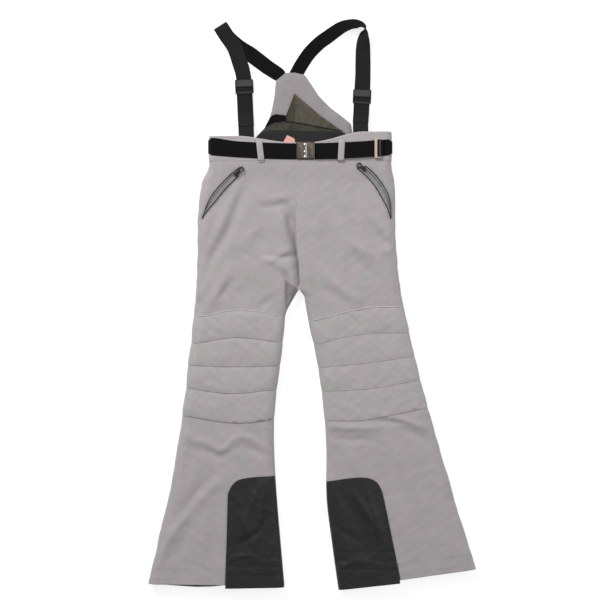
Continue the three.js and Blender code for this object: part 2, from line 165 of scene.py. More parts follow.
def piece(name, points, faces, finish, body, slot=None, replaces=(), bend=None, crease=40):
    """A named mesh from points in the pattern, which rides on a body, or stays where it is when given a bend.
    """
    data = bpy.data.meshes.new(name)
    places = (np.asarray(points, float).reshape(-1, 3) + SHIFT) * MM
    data.from_pydata(places.tolist(), [], faces)
    data.validate()
    data.update()
    data.polygons.foreach_set("use_smooth", [True] * len(data.polygons))
    data.set_sharp_from_angle(angle=math.radians(crease))
    data.materials.append(finish)
    made = bpy.data.objects.new(name, data)
    bpy.context.scene.collection.objects.link(made)
    if bend:
        a, b, *ends = bend
        start, end = ([float(v) * MM for v in np.add(place, SHIFT)] for place in ends)
        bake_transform(made)
    else:
        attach(made, body)
    if replaces:
        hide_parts(*replaces)
    return made


class Parts:
    """Several shapes gathered into one mesh."""

    def __init__(self):
        self.points, self.faces = [], []

    def add(self, points, faces):
        """Add a shape, whose faces count its own points from 0."""
        points = np.asarray(points, float).reshape(-1, 3)
        start = sum(len(p) for p in self.points)
        self.points.append(points)
        self.faces += [[start + i for i in face] for face in faces]
        return self

    def tube(self, path, radius, sides=8, taper=0):
        """A round thread or piping along a path."""
        p = np.asarray(path, float)
        ahead = unit(np.gradient(p, axis=0))
        side = unit(np.cross(ahead, [0, 0, 1.0]))
        up = np.cross(side, ahead)
        size = np.full(len(p), float(radius))
        if taper:
            size *= np.minimum(1, np.minimum(np.arange(len(p)), np.arange(len(p))[::-1]) / taper + 0.15)
        turn = np.arange(sides) * 2 * math.pi / sides
        ring = side[:, None] * np.cos(turn)[:, None] + up[:, None] * np.sin(turn)[:, None]
        points = p[:, None] + ring * size[:, None, None]
        return self.add(points, capped(len(p), sides))

    def block(self, centre, size, turn=0.0, edge=0.4):
        """A block with its edges taken off."""
        hx, hy, hz = (s / 2 for s in size)
        e = min(edge, hx * 0.45, hy * 0.45, hz * 0.45)
        ring = []
        for z, inset in ((-hz, e), (-hz + e, 0), (hz - e, 0), (hz, e)):
            a, b = hx - inset, hy - inset
            ring += [(-a + e, -b, z), (a - e, -b, z), (a, -b + e, z), (a, b - e, z),
                     (a - e, b, z), (-a + e, b, z), (-a, b - e, z), (-a, -b + e, z)]
        ring = np.array(ring)
        c, s = math.cos(turn), math.sin(turn)
        ring = np.stack([ring[:, 0] * c - ring[:, 1] * s, ring[:, 0] * s + ring[:, 1] * c, ring[:, 2]], 1)
        return self.add(ring + np.asarray(centre, float), capped(4, 8))

    def stitch(self, line, radius, shown=lambda place: True, depth=0.0):
        """A running stitch: every other stretch of the line is a thread, its ends sunk by the depth."""
        for a, b in zip(line[::2], line[1::2]):
            if shown(a):
                self.tube([a - [0, 0, depth], (a + b) / 2, b - [0, 0, depth]], radius, 5)

    def make(self, name, finish, body, **more):
        """The gathered shapes as a piece."""
        return piece(name, np.vstack(self.points), self.faces, finish, body, **more)


def patch(outline, spacing):
    """Triangles that fill an outline: their points, the rim's first, their faces and the rim's count."""
    rim = np.asarray(outline, float)
    lo, hi = rim.min(0), rim.max(0)
    xs = np.arange(lo[0] + spacing / 2, hi[0], spacing)
    ys = np.arange(lo[1] + spacing / 2, hi[1], spacing * 0.866)
    inner = np.array([(x + (spacing / 2 if j % 2 else 0), y) for j, y in enumerate(ys) for x in xs])
    away, _ = near_path(inner[:, 0], inner[:, 1], np.vstack([rim, rim[:1]]))
    inner = inner[inside(inner, rim) & (away > spacing * 0.45)]
    flat = [Vector(p) for p in np.vstack([rim, inner]).tolist()]
    made = delaunay_2d_cdt(flat, [], [list(range(len(rim)))], 1, 1e-4)
    return np.array([tuple(v) for v in made[0]]), [list(f) for f in made[2]], len(rim)


def inside(points, rim):
    """Which points lie inside a rim."""
    x, y = points[:, 0], points[:, 1]
    found = np.zeros(len(points), bool)
    for (ax, ay), (bx, by) in zip(rim, np.roll(rim, -1, 0)):
        crosses = (ay > y) != (by > y)
        with np.errstate(divide="ignore", invalid="ignore"):
            found ^= crosses & (x < (bx - ax) * (y - ay) / (by - ay) + ax)
    return found


def signed_area(outline):
    """An outline's area, which is above zero where it runs to the left."""
    x, y = np.asarray(outline, float).T
    return np.sum(x * np.roll(y, -1) - np.roll(x, -1) * y) / 2


def layer(outline, spacing, height, wall, drop):
    """Cloth over an outline: its top at height(x, y, distance from the rim), and its rim turned down."""
    flat, faces, rim = patch(outline, spacing)
    edge = np.asarray(outline, float)
    away, _ = near_path(flat[:, 0], flat[:, 1], np.vstack([edge, edge[:1]]))
    top = height(flat[:, 0], flat[:, 1], away)
    points = np.column_stack([flat, top])
    foot = points[:rim].copy()
    foot[:, 2] -= drop
    ahead = np.column_stack([np.roll(edge, -1, 0) - np.roll(edge, 1, 0), np.zeros(rim)])
    outward = unit(np.cross(ahead, [0, 0, 1.0]))
    foot += outward * wall * np.sign(signed_area(edge))
    count = len(points)
    ring = [[i, (i + 1) % rim, count + (i + 1) % rim, count + i] for i in range(rim)]
    return np.vstack([points, foot]), faces + ring


def closed_outline(shape, count):
    """A shape's rim in evenly spaced points."""
    return resample(np.vstack([shape, shape[:1]]), count)[:-1]


def cut_cloth(name, outline, spacing, height, edge, finish, body, slot, rests_on, flat, area=True,
              held="laid", **more):
    """A layer of cloth over an outline. The edge is (wall, drop), and flat is in metres but is not used."""
    points, faces = layer(outline, spacing, height, *edge)
    made = piece(name, points, faces, finish, body, slot=slot, crease=60, **more)


# ---------------------------------------------------------------- finishes


def tone(sRGB):
    """An sRGB colour as the shader's linear one."""
    return [(c / 255 / 12.92) if c <= 10 else ((c / 255 + 0.055) / 1.055) ** 2.4 for c in sRGB]


def finish(name, colour, rough, metal=0.0, grain=0.0, grain_size=8.0, bump=0.0, bump_size=1.2, sheen=0.0,
           stretch=(1, 1, 1), coat=0.0, rough_grain=0.0, second=None, second_size=34.0):
    """A procedural material: an sRGB colour, or two that drift into each other, with fine relief."""
    colour = tone(colour)
    made = bpy.data.materials.new(name)
    made.use_nodes = True
    tree = made.node_tree
    shader = tree.nodes["Principled BSDF"]
    shader.inputs["Roughness"].default_value = rough
    shader.inputs["Metallic"].default_value = metal
    shader.inputs["Sheen Weight"].default_value = sheen
    shader.inputs["Sheen Roughness"].default_value = 0.5
    shader.inputs["Coat Weight"].default_value = coat
    shader.inputs["Specular IOR Level"].default_value = 0.5 if metal or coat else 0.25
    place = tree.nodes.new("ShaderNodeTexCoord")
    scale = tree.nodes.new("ShaderNodeMapping")
    scale.inputs["Scale"].default_value = stretch
    tree.links.new(place.outputs["Object"], scale.inputs["Vector"])

    def noise_node(size, detail):
        node = tree.nodes.new("ShaderNodeTexNoise")
        node.inputs["Scale"].default_value = 1000 / size
        node.inputs["Detail"].default_value = detail
        tree.links.new(scale.outputs["Vector"], node.inputs["Vector"])
        return node

    mix = tree.nodes.new("ShaderNodeMix")
    mix.data_type = "RGBA"
    mix.inputs["A"].default_value = (*[c * (1 - grain) for c in colour], 1)
    mix.inputs["B"].default_value = (*[min(1, c * (1 + grain)) for c in colour], 1)
    mottle = noise_node(grain_size, 4)
    tree.links.new(mottle.outputs["Fac"], mix.inputs["Factor"])
    shade = mix.outputs["Result"]
    if second:
        drift = tree.nodes.new("ShaderNodeMix")
        drift.data_type = "RGBA"
        drift.blend_type = "MULTIPLY"
        drift.inputs["B"].default_value = (*[b / a for a, b in zip(colour, tone(second))], 1)
        edge = tree.nodes.new("ShaderNodeMapRange")
        edge.inputs["From Min"].default_value = 0.3
        edge.inputs["From Max"].default_value = 0.7
        tree.links.new(noise_node(second_size, 3).outputs["Fac"], edge.inputs["Value"])
        tree.links.new(edge.outputs["Result"], drift.inputs["Factor"])
        tree.links.new(shade, drift.inputs["A"])
        shade = drift.outputs["Result"]
    tree.links.new(shade, shader.inputs["Base Color"])
    if rough_grain:
        uneven = tree.nodes.new("ShaderNodeMapRange")
        uneven.inputs["To Min"].default_value = rough - rough_grain
        uneven.inputs["To Max"].default_value = rough + rough_grain
        tree.links.new(mottle.outputs["Fac"], uneven.inputs["Value"])
        tree.links.new(uneven.outputs["Result"], shader.inputs["Roughness"])
    if bump:
        relief = tree.nodes.new("ShaderNodeBump")
        relief.inputs["Strength"].default_value = bump
        relief.inputs["Distance"].default_value = bump_size * 0.3 * MM
        tree.links.new(noise_node(bump_size, 2).outputs["Fac"], relief.inputs["Height"])
        tree.links.new(relief.outputs["Normal"], shader.inputs["Normal"])
    return made


SOFTSHELL = {"rough": 0.85, "grain_size": 9, "bump": 0.5, "bump_size": 1.1, "sheen": 0.05}
SHELL = finish("softshell", (175, 165, 169), grain=0.06, second=(166, 164, 163), **SOFTSHELL)
# The pad cloth is lifted a little lighter than the shell, as painted light on the knees
PAD = finish("padded_softshell", (177, 169, 172), grain=0.05, second=(170, 168, 167), **SOFTSHELL)
YOKE = finish("yoke_softshell", (152, 145, 147), grain=0.06, second=(147, 143, 143), **SOFTSHELL)
# Painted shade: a darker cloth for the fold under the crotch
SHADE = finish("crotch_painted_shade", (138, 133, 135), 0.9, grain=0.06, grain_size=9)
# Painted highlight: the knee pad's top ridge is coloured lighter than the cloth
RIDGE_HIGHLIGHT = finish("knee_ridge_painted_highlight", (184, 179, 181), 0.8, grain=0.04)
THREAD = finish("thread", (142, 138, 140), 0.8)
# Painted shade: the knee's seam threads are darker than the cloth, as shade in the seams, the left knee's
# less so
SEAM_SHADE_THREAD = {
    "right": finish("seam_thread_painted_shade", (136, 132, 134), 0.9),
    "left": finish("seam_thread_lighter_painted_shade", (158, 153, 155), 0.9),
}
GUARD = finish("scuff_cloth", (42, 41, 42), 0.52, grain=0.3, grain_size=5, bump=0.3, bump_size=1.6,
               rough_grain=0.1)
WEBBING = finish("black_webbing", (5, 4, 5), 0.95, grain=0.3, grain_size=3, bump=0.6, bump_size=0.9)
ELASTIC = finish("ribbed_elastic", (27, 27, 28), 0.9, grain=0.35, grain_size=4, bump=0.5, bump_size=0.8)
LINING = finish("lining", (36, 37, 37), 0.75, grain=0.2, grain_size=12, bump=0.4, bump_size=0.8)
OLIVE = finish("net_over_lining", (72, 69, 58), 0.75, grain=0.35, grain_size=14, bump=0.8, bump_size=2.4,
               second=(50, 49, 44), second_size=22)
NET = finish("mesh_cloth", (80, 76, 65), 0.75, grain=0.25, grain_size=10)
BACKING = finish("pale_backing", (150, 145, 126), 0.8, grain=0.3, grain_size=16, second=(98, 94, 80),
                 second_size=15)
TAPE = finish("zip_tape", (138, 136, 137), 0.7, grain=0.12, grain_size=4, bump=0.5, bump_size=0.9)
PIPING = finish("dark_piping", (64, 62, 64), 0.6, grain=0.15, grain_size=4)
ZIP_METAL = finish("dark_zip_metal", (74, 71, 70), 0.4, metal=0.8, grain=0.15, grain_size=2)
PLASTIC = finish("black_plastic", (36, 36, 36), 0.5, coat=0.06, grain=0.1, grain_size=6)
# Painted highlight: the adjuster's plate is coloured lighter than the frame's plastic
PLATE_HIGHLIGHT = finish("adjuster_plate_painted_highlight", (56, 57, 57), 0.42, coat=0.08, grain=0.15, grain_size=5)
GUNMETAL = finish("brushed_gunmetal", (112, 104, 96), 0.42, metal=0.9, grain=0.3, grain_size=3,
                  stretch=(1, 6, 1), bump=0.4, bump_size=0.8, rough_grain=0.12)
CHROME = finish("polished_metal", (206, 198, 194), 0.2, metal=1.0, grain=0.04, grain_size=5)
SILVER = finish("pinkish_silver", (222, 200, 192), 0.4, metal=0.6, grain=0.1, grain_size=3)
BRONZE = finish("dark_bronze", (74, 64, 52), 0.5, metal=0.7, grain=0.25, grain_size=4)
LABEL = finish("label_cloth", (236, 178, 166), 0.75, grain=0.05, grain_size=3)


# ---------------------------------------------------------------- the legs, as the frame gives them


def corners_of(*nodes):
    """The outline points of flat CAD nodes, seen from above, in pattern millimetres."""
    found = [np.array([v.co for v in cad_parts[n].data.vertices]) / MM - SHIFT for n in nodes]
    return np.unique(np.vstack(found)[:, :2].round(2), axis=0)


# Each fold is a path on the cloth, how wide it is and how far it rises (or sinks, below zero)
FOLDS = {
    "right": [
        ([(-122, -83), (-129, -96), (-148, -142), (-166, -188), (-185, -221), (-203, -253), (-221, -299)],
         11, -2.6),
        ([(-143, -78), (-152, -101), (-166, -138), (-185, -179), (-212, -234)], 12, 2.2),
        ([(-33, -128), (-27, -146), (-21, -170), (-15, -195), (-9.5, -218), (-5.5, -241), (-2.0, -264),
          (-0.4, -290), (-2, -338)], 12, -8.6),
        ([(-26, -138), (-37, -161), (-30, -188), (-21, -221)], 12, 2.4),
        ([(-10, -244), (-28, -246), (-47, -248), (-74, -244)], 7, -2.4),
        ([(-24, -230), (-42, -241), (-65, -253), (-88, -257)], 8, 1.8),
        ([(-74, -250), (-56, -262), (-33, -280)], 9, 2),
        ([(-35, -280), (-30, -299), (-28, -322), (-30, -363)], 6, -4.5),
        ([(-97, -129), (-70, -133), (-37, -122)], 8, -1.6),
        ([(-88, -110), (-60, -115), (-28, -108)], 10, 1.2),
        ([(-166, -276), (-175, -299), (-189, -326), (-212, -368)], 12, 2.2),
        ([(-162, -308), (-171, -322), (-182, -340)], 9, -1.8),
        ([(-226, -340), (-231, -354), (-233, -377)], 9, -1.8),
        ([(-65, -340), (-79, -352), (-97, -363)], 9, -1.6),
        ([(-102, -188), (-93, -207), (-88, -230)], 14, -1.6),
        ([(-139, -221), (-116, -202), (-97, -179)], 14, 1.4),
        ([(-198, -124), (-212, -161), (-221, -207)], 12, 1.4),
        ([(-267, -653), (-244, -667), (-217, -671), (-185, -690), (-166, -681), (-148, -662), (-120, -662),
          (-93, -676), (-74, -690)], 8, 1.7),
        ([(-263, -681), (-231, -690), (-203, -697), (-182, -708), (-162, -694)], 9, -1.3),
        ([(-134, -681), (-106, -690), (-79, -706)], 8, -1.6),
        ([(-171, -754), (-203, -777), (-231, -805), (-258, -832), (-281, -874), (-304, -915)], 12, 1.6),
        ([(-203, -750), (-231, -782), (-254, -814), (-281, -851)], 10, -1.8),
        ([(-272, -846), (-290, -874), (-309, -911), (-323, -947)], 9, 1.8),
        ([(-254, -860), (-267, -897), (-277, -934)], 10, -1.5),
        ([(-217, -851), (-221, -897), (-217, -947)], 12, 1.4),
        ([(-240, -717), (-249, -759), (-267, -796)], 12, 1.2),
    ],
    "left": [
        ([(151, -133), (170, -161), (193, -188), (216, -216)], 10, 1.8),
        ([(174, -188), (193, -211), (206, -230)], 9, -1.5),
        ([(101, -202), (119, -216), (147, -234), (174, -253)], 11, 1.8),
        ([(119, -244), (147, -271), (165, -290)], 11, -1.7),
        ([(55, -285), (73, -299), (91, -315), (110, -331), (137, -345)], 11, 1.9),
        ([(45, -317), (73, -331), (101, -354)], 10, -1.6),
        ([(6, -230), (13, -267), (20, -308), (27, -354)], 9, 1.6),
        ([(183, -239), (206, -230), (225, -221)], 9, 1.4),
        ([(68, -69), (91, -106), (114, -147)], 16, 1),
        ([(27, -115), (41, -161), (50, -207)], 16, 1.2),
        ([(59, -635), (101, -639), (142, -639), (183, -639)], 8, 2.4),
        ([(68, -662), (114, -667), (165, -667)], 9, -1.6),
        ([(174, -623), (206, -625), (243, -628)], 7, -2.2),
        ([(197, -614), (229, -621), (262, -630), (298, -644)], 8, 2.2),
        ([(229, -644), (262, -653), (294, -671)], 9, -1.7),
        ([(101, -681), (119, -713), (128, -745)], 12, 1.4),
        ([(211, -681), (234, -722), (252, -773), (266, -828)], 14, 1.6),
        ([(239, -690), (262, -736), (285, -791)], 12, -1.3),
        ([(225, -805), (239, -860), (257, -915)], 13, 1.4),
        ([(312, -736), (331, -796), (349, -860)], 12, 1.2),
        ([(275, -874), (294, -915), (303, -957)], 12, -1.2),
    ],
}
# The knee's five quilting seams, from the top one down
QUILTING = {
    "right": [
        [(-217, -382), (-157, -370), (-93, -372), (-42, -384)],
        [(-237, -445), (-175, -434), (-129, -432), (-51, -442)],
        [(-245, -496), (-152, -499), (-60, -497)],
        [(-254, -548), (-198, -557), (-148, -560), (-65, -552)],
        [(-262, -612), (-198, -623), (-139, -628), (-74, -622), (-58, -613)],
    ],
    "left": [
        [(32, -393), (91, -377), (160, -363), (229, -361)],
        [(43, -446), (96, -432), (160, -422), (234, -421)],
        [(48, -500), (137, -492), (248, -476)],
        [(57, -555), (160, -549), (262, -531)],
        [(64, -622), (133, -622), (197, -612), (275, -595)],
    ],
}
EDGE_RADIUS = 24.0
CENTRE_HALF = 150.0  # no outer edge comes this near the centre, and no inner edge goes this far from it
CROTCH = -328.0
CROTCH_SEAM_END = -285.0  # where the two legs' cloth starts to part
SEAM_SHARES = (0, 0.37, 0.485, 0.61, 1)  # each cross seam's place between the waist and the hem
FOLD_REACH = 76.0  # the knee bend's ends are set this far on each side of the knee's fold
ROW_STEP = 0.0039


class Leg:
    """One leg's edges, seams and front surface."""

    def __init__(self, side):
        self.side = side
        self.out = -1 if side == "right" else 1
        outline = corners_of(f"{side}_back_panel", f"{side}_calf_panel")
        outline = outline[np.argsort(-outline[:, 1])]
        outer = outline[np.abs(outline[:, 0]) > CENTRE_HALF]
        inner = outline[np.abs(outline[:, 0]) < CENTRE_HALF]
        self.outer_path = self.even(outer)
        below = inner[:, 1] < CROTCH
        self.inner_path = np.vstack([inner[~below], self.even(inner[below])])
        self.seams = [(-20.0, -20.0)]
        for node, pick in (("knee_pad_upper", -1), ("knee_pad_upper", 0), ("knee_pad_lower", 0),
                           ("calf_panel", 0)):
            c = corners_of(f"{side}_{node}")
            middle = (c[:, 0].min() + c[:, 0].max()) / 2
            far = c[(c[:, 0] - middle) * self.out > 0]
            close = c[(c[:, 0] - middle) * self.out < 0]
            self.seams.append(tuple(float(np.sort(e[:, 1])[pick]) for e in (far, close)))
        self.hem = self.seams[-1]

    @staticmethod
    def even(points):
        """A smooth edge through points from the top down, without those level with the one above."""
        path = smooth_path(points[np.concatenate([[True], -np.diff(points[:, 1]) > 3])], 4)
        return path[np.argsort(-path[:, 1])]

    def outer(self, y):
        """Where the outer edge is, across."""
        y = np.asarray(y, float)
        wavy = 0.9 * speckle(y, y * 0.3, 26, self.out)
        wavy = wavy + 1.6 * speckle(y, y * 0.2, 75, 3 * self.out) * ramp(-y, 80, 160)
        edge = np.interp(-y, -self.outer_path[:, 1], self.outer_path[:, 0]) - self.out * wavy
        tucked = ramp(y, -78, -30)  # into the foot of the waistband
        return edge + (self.out * (WAIST_HALF - 0.4) - edge) * tucked

    def inner(self, y):
        """Where the inner edge is, across: the centre seam above the crotch."""
        y = np.asarray(y, float)
        joined = 0.7 * ramp(y, -310, -290)  # the two legs' cloth overlaps a little in the centre seam
        drawn = 3.2 * ramp(-y, 225, 258) * (1 - ramp(-y, 300, 328))  # over the crotch it is drawn to the left
        return np.interp(-y, -self.inner_path[:, 1], self.inner_path[:, 0]) - self.out * joined + drawn

    def edges(self, x, y):
        """How far in a place is from the outer edge and from the inner one."""
        return (self.outer(y) - x) * self.out, (x - self.inner(y)) * self.out

    def roll(self, x, y, radius=EDGE_RADIUS):
        """Share of the leg's full height, from 0 at its rounded edges."""
        from_outer, from_inner = self.edges(x, y)
        below = ramp(-y, 300, 340)
        return rounded(from_outer, radius) * (1 - below + below * rounded(from_inner, radius * 0.9))

    def relief(self, x, y):
        """How far the cloth rises or sinks from lying flat."""
        total = 1.3 * speckle(x, y, 80, 3.1 * self.out) + 0.5 * speckle(x, y, 34, 7.7 * self.out)
        down, across = 0.6 * x * self.out - 0.8 * y, 0.8 * x * self.out + 0.6 * y
        total += (0.55 * speckle(down * 1.9, across * 0.55, 22, 1.3)
                  + 0.4 * speckle(across * 1.9, down * 0.6, 19, 4.4))
        total += 0.17 * speckle(x, y, 9, 2.3)
        for path, width, rise in FOLDS[self.side]:
            away, share = near_path(x, y, smooth_path(path, 12))
            fade = np.sin(math.pi * (0.06 + 0.88 * share)) ** 0.6
            total += 1.75 * rise * np.exp(-((away / width) ** 2)) * fade
        from_outer, from_centre = self.edges(x, y)
        above = 1 - ramp(-y, 300, 330)
        turned = 0.0 if self.side == "right" else 1.7 * ramp(-y, 190, 230)
        total -= above * (0.55 + turned) * np.exp(-((from_centre / (3.0 + turned)) ** 2))
        from_seam = from_outer - 10
        total -= 1.0 * np.exp(-((from_seam / 2.4) ** 2))
        along = (x * 0.3 + y) / 7.5
        pucker = np.sin(along * 2 * math.pi + 3 * speckle(x, y, 60, 5))
        total += 0.35 * pucker * np.exp(-((from_seam / 8) ** 2))
        return total * ramp(-y, 24, 62)

    def front(self, x, y):
        """The height of the front cloth."""
        x, y = np.asarray(x, float), np.asarray(y, float)
        waist = 1 - ramp(-y, 27, 80)
        roll = self.roll(x, y, EDGE_RADIUS - 9 * waist)
        under_belt = 3.9 * waist
        return MIDDLE + (TOP - MIDDLE + under_belt) * roll + self.relief(x, y) * ramp(roll, 0.3, 0.95)

    def height(self, t):
        """The two ends of a row across the leg, from the waist at 0 to the hem at 1."""
        far, close = np.array(self.seams).T
        return np.interp(t, SEAM_SHARES, far), np.interp(t, SEAM_SHARES, close)

    def tube(self, t, inset, front_columns=66, back_columns=26):
        """Rows round the leg, from the inner seam over the front and back under it."""
        rows = []
        for where, deep in zip(t, inset):
            far, close = self.height(where)
            start = np.array([self.inner(close) + self.out * deep, close])
            end = np.array([self.outer(far) - self.out * deep, far])
            over, back = spread(front_columns, 0.55), 1 - spread(back_columns, 0.55)[1:]
            x, y = (start + (end - start) * np.insert(over, 0, 0.0)[:, None]).T
            z = self.front(x, y) - deep * self.roll(x, y)
            # At the centre seam the left leg's edge turns down, into the crease in the right one
            turned = ramp(-close, 135, 175) * (1 - ramp(-close, 300, 330)) if self.side == "left" else 0.0
            z[0] -= 0.15 + 15.5 * turned
            rows.append(np.column_stack([x, y, z]))
            x, y = (start + (end - start) * back[:, None]).T
            inside_belt = 3.0 * ramp(y, -42, -29)
            z = MIDDLE - (MIDDLE - BOTTOM - deep - inside_belt) * self.roll(x, y, 15)
            rows.append(np.column_stack([x, y, z]))
        return np.concatenate(rows).reshape(len(t), -1, 3)


def leg_bend(leg, other):
    """Where the cloth turns at the knee's fold, square to the fold."""
    far, close = leg.seams[2]
    a = np.array([leg.outer(far), far])
    b = np.array([leg.inner(close), close])
    along = (b - a) / np.linalg.norm(b - a)
    across = np.array([-along[1], along[0]])
    across *= -np.sign(across[1])
    middle = (a + b) / 2
    start, end = middle - across * FOLD_REACH, middle + across * FOLD_REACH
    return ("trousers", other, [*start, 0], [*end, 0])


def make_leg(leg):
    """A leg's shell, and all that is sewn to it below the waist."""
    side = leg.side
    lower = f"{side}_lower_leg"
    bend = leg_bend(leg, lower)
    # Rows from the waist to the hem, and more that turn up inside it
    turned_up, fold = 10, 0.9
    t = np.concatenate([np.arange(0, 1, ROW_STEP), [1, 1, 1], 1 - np.arange(1, turned_up - 1) * 0.006])
    inset = np.concatenate([np.zeros(len(t) - turned_up), [fold], np.full(turned_up - 1, 2 * fold)])
    points = leg.tube(t, inset)
    points[-turned_up, :, 1] -= fold
    columns = points.shape[1]
    faces = grid(len(t), columns)
    for row in range(len(t) - 1):  # below the centre seam the inner edge is closed
        if points[row, 0, 1] < CROTCH_SEAM_END:
            here, after = row * columns, (row + 1) * columns
            faces.append([here + columns - 1, here, after, after + columns - 1])
    hidden = ["front_panel", "back_panel", "thigh_outer_side", "thigh_inner_side", "shin_panel", "calf_panel",
              "lower_outer_side", "lower_inner_side"]
    shell = piece(f"{side}_leg_shell", points, faces, SHELL, None, slot="shell_cloth", bend=bend,
                  replaces=[f"{side}_{n}" for n in hidden], crease=75)

    # Two rows of stitches round the hem, and the lining inside it
    stitches = Parts()
    for above in (0.012, 0.036):
        line = leg.tube([1 - above], [0.0], 110, 50)[0]
        line[:, 2] += np.where(line[:, 2] > MIDDLE, 0.15, 0)
        stitches.stitch(line, 0.26, lambda a: a[2] > MIDDLE)
    stitches.make(f"{side}_hem_stitches", THREAD, lower, slot="shell_cloth")
    t = 1 - np.arange(5, 34) * 0.004
    points = leg.tube(t, np.full(len(t), 3.6), 40, 30)
    points[..., 2] -= np.where(points[..., 2] > MIDDLE, 1.0, 0)
    inner = piece(f"{side}_leg_lining", points, grid(*points.shape[:2]), LINING, lower, slot="lining",
                  crease=75)
    make_gaiter(leg, lower)
    make_knee(leg, bend)
    make_guard(leg, lower)


def make_crotch_painted_shade(leg):
    """A darker sheet over the inside of the thigh, under the crotch, as painted shade in the fold there."""

    def height(x, y, away):
        return leg.front(x, y) + 0.9 - 0.6 * (1 - ramp(away, 0, 3))

    outline = closed_outline([(-34, -299), (-5.5, -321), (-13, -336), (-31.5, -366), (-34, -362)], 90)
    cut_cloth("right_crotch_painted_shade", outline, 3.5, height, (0.0, 0.3), SHADE, "trousers", "shell_cloth",
              ["right_leg_shell"], (0.03, 0.069))


def make_gaiter(leg, body):
    """An elastic sleeve inside the hem, gathered along its foot."""
    node = f"{leg.side}_gaiter"
    c = corners_of(node)
    centre = (c.min(0) + c.max(0)) / 2
    turn = math.radians(3 if leg.side == "right" else 12)
    half, length, radius, level, cloth = 110.0, 98.0, 7.0, 13.5, 0.9
    along = np.linspace(0, 1, 180, endpoint=False)
    angle = along * 2 * math.pi
    rows = []
    for down in np.linspace(0, 1, 26):
        wide = half * (1 - 0.05 * ramp(down, 0.55, 1.0))
        x = np.sign(np.cos(angle)) * np.abs(np.cos(angle)) ** 0.55 * wide
        flat_z = np.sign(np.sin(angle)) * np.abs(np.sin(angle)) ** 0.4 * radius
        uneven = 1.4 * speckle(along * 60, np.full(len(along), down * 9), 4, 2)
        gather = 0.9 * ramp(down, 0.25, 0.8) * np.sin(angle * 42 + uneven)
        z = level + flat_z * (1 - 0.12 * down) + gather * np.sign(flat_z)
        y = length / 2 - length * down + 1.2 * np.sin(angle * 5 + 2 * leg.out)
        rows.append(np.column_stack([centre[0] + x * math.cos(turn) - y * math.sin(turn),
                                     centre[1] + x * math.sin(turn) + y * math.cos(turn), z]))
    inward = np.sign(level - rows[-1][:, 2]) * cloth
    rows.append(rows[-1] + np.column_stack([np.zeros((len(along), 2)), inward]))
    made = piece(node + "_sleeve", np.stack(rows), grid(len(rows), len(along), closed=True), LINING, body,
                 slot="lining", replaces=[node], crease=80)


def make_knee(leg, bend):
    """Four quilted ribs over the knee, wadded, between five seams."""
    side = leg.side
    seams = [smooth_path(s, 6) for s in QUILTING[side]]
    seams = [s[np.argsort(s[:, 0])] for s in seams]
    columns, per_rib = 90, 16
    u = spread(columns, 0.4)

    def row(k, share=0.0):
        """Points across the leg, a share of the way from one seam to the next."""
        seam, after = seams[k], seams[min(k + 1, 4)]
        y = np.full(columns, seam[:, 1].mean())
        for _ in range(4):
            near, far = leg.inner(y), leg.outer(y)
            x = near + (far - near) * u
            y = np.interp(x, *seam.T)
            y = y + (np.interp(x, *after.T) - y) * share
        return x, y

    points = []
    for number in range(4 * per_rib + 1):
        k, share = number // per_rib, number % per_rib / per_rib
        x, y = row(k, share)
        from_outer, from_inner = leg.edges(x, y)
        side_fade = rounded(from_outer + 1, 26) * rounded(from_inner + 1, 24)
        puff = math.sin(math.pi * share) ** 0.5
        height = 0.4 + (2.3 if side == "right" else 1.3) * puff * (1 + 0.2 * speckle(x, y, 46, 11 + k))
        pucker = np.sin(x / 8.5 + 2.2 * speckle(x, y, 34, 21 + k) + (y - y.mean()) / 9)
        near_seam = (1 - puff) * puff * 4
        height = height + 0.7 * near_seam * pucker * (0.6 + 0.4 * speckle(x, y, 50, 4))
        height = height + 0.5 * puff * speckle((x + y) * 1.6, (x - y) * 0.55, 24, 31 + k)
        z = leg.front(x, y) + height * (0.25 + 0.75 * side_fade)
        bulge = 1.6 * puff * (1 - side_fade)
        push = np.where(u > 0.5, leg.out, -leg.out) * bulge
        if k in (0, 4) and share == 0:
            z = leg.front(x, y) + 0.3
        points.append(np.column_stack([x + push, y, z]))
    # A thin underside closes each pad
    top = np.stack(points)
    under = top[::-1].copy()
    for line in under:
        line[:, 2] = np.minimum(line[:, 2] - 0.8, leg.front(line[:, 0], line[:, 1]) - 0.6)
    count = len(top)
    faces = grid(2 * count, columns)
    last = (2 * count - 1) * columns
    faces += [[last + c, last + c + 1, c + 1, c] for c in range(columns - 1)]
    for edge in (0, columns - 1):
        for r in range(count - 1):
            a, b, c, d = (q * columns + edge for q in (r, r + 1, 2 * count - 2 - r, 2 * count - 1 - r))
            faces.append([a, b, c, d] if edge else [d, c, b, a])
    pad = piece(f"{side}_knee_pad", np.concatenate([top, under]), faces, PAD, None, slot="knee_cloth",
                bend=bend, crease=70, replaces=[f"{side}_knee_pad_upper", f"{side}_knee_pad_lower"])
    # A ridge along the pad's top, coloured lighter as a painted highlight, and a thread along each seam below
    # it, coloured darker as painted shade in the seam
    for number in range(5):
        x, y = row(number)
        line = np.column_stack([x, y, leg.front(x, y) + 0.5])[2:-2]
        shape = Parts().tube(line, 0.8 if number else 1.4, 8, taper=6)
        name, cloth = (f"quilting_seam_{number}", SEAM_SHADE_THREAD[side]) if number else ("top_ridge", RIDGE_HIGHLIGHT)
        shape.make(f"{side}_knee_{name}", cloth, None, slot="knee_cloth", bend=bend)


# Each guard's outer edge, from the leg's inner seam round to the hem
GUARDS = {
    "right": [(-59, -750), (-120, -754), (-148, -763), (-162, -782), (-166, -800), (-168, -874),
              (-172, -996)],
    "left": [(60, -763), (114, -755), (151, -754), (174, -763), (186, -782), (192, -805), (211, -897),
             (229, -983)],
}


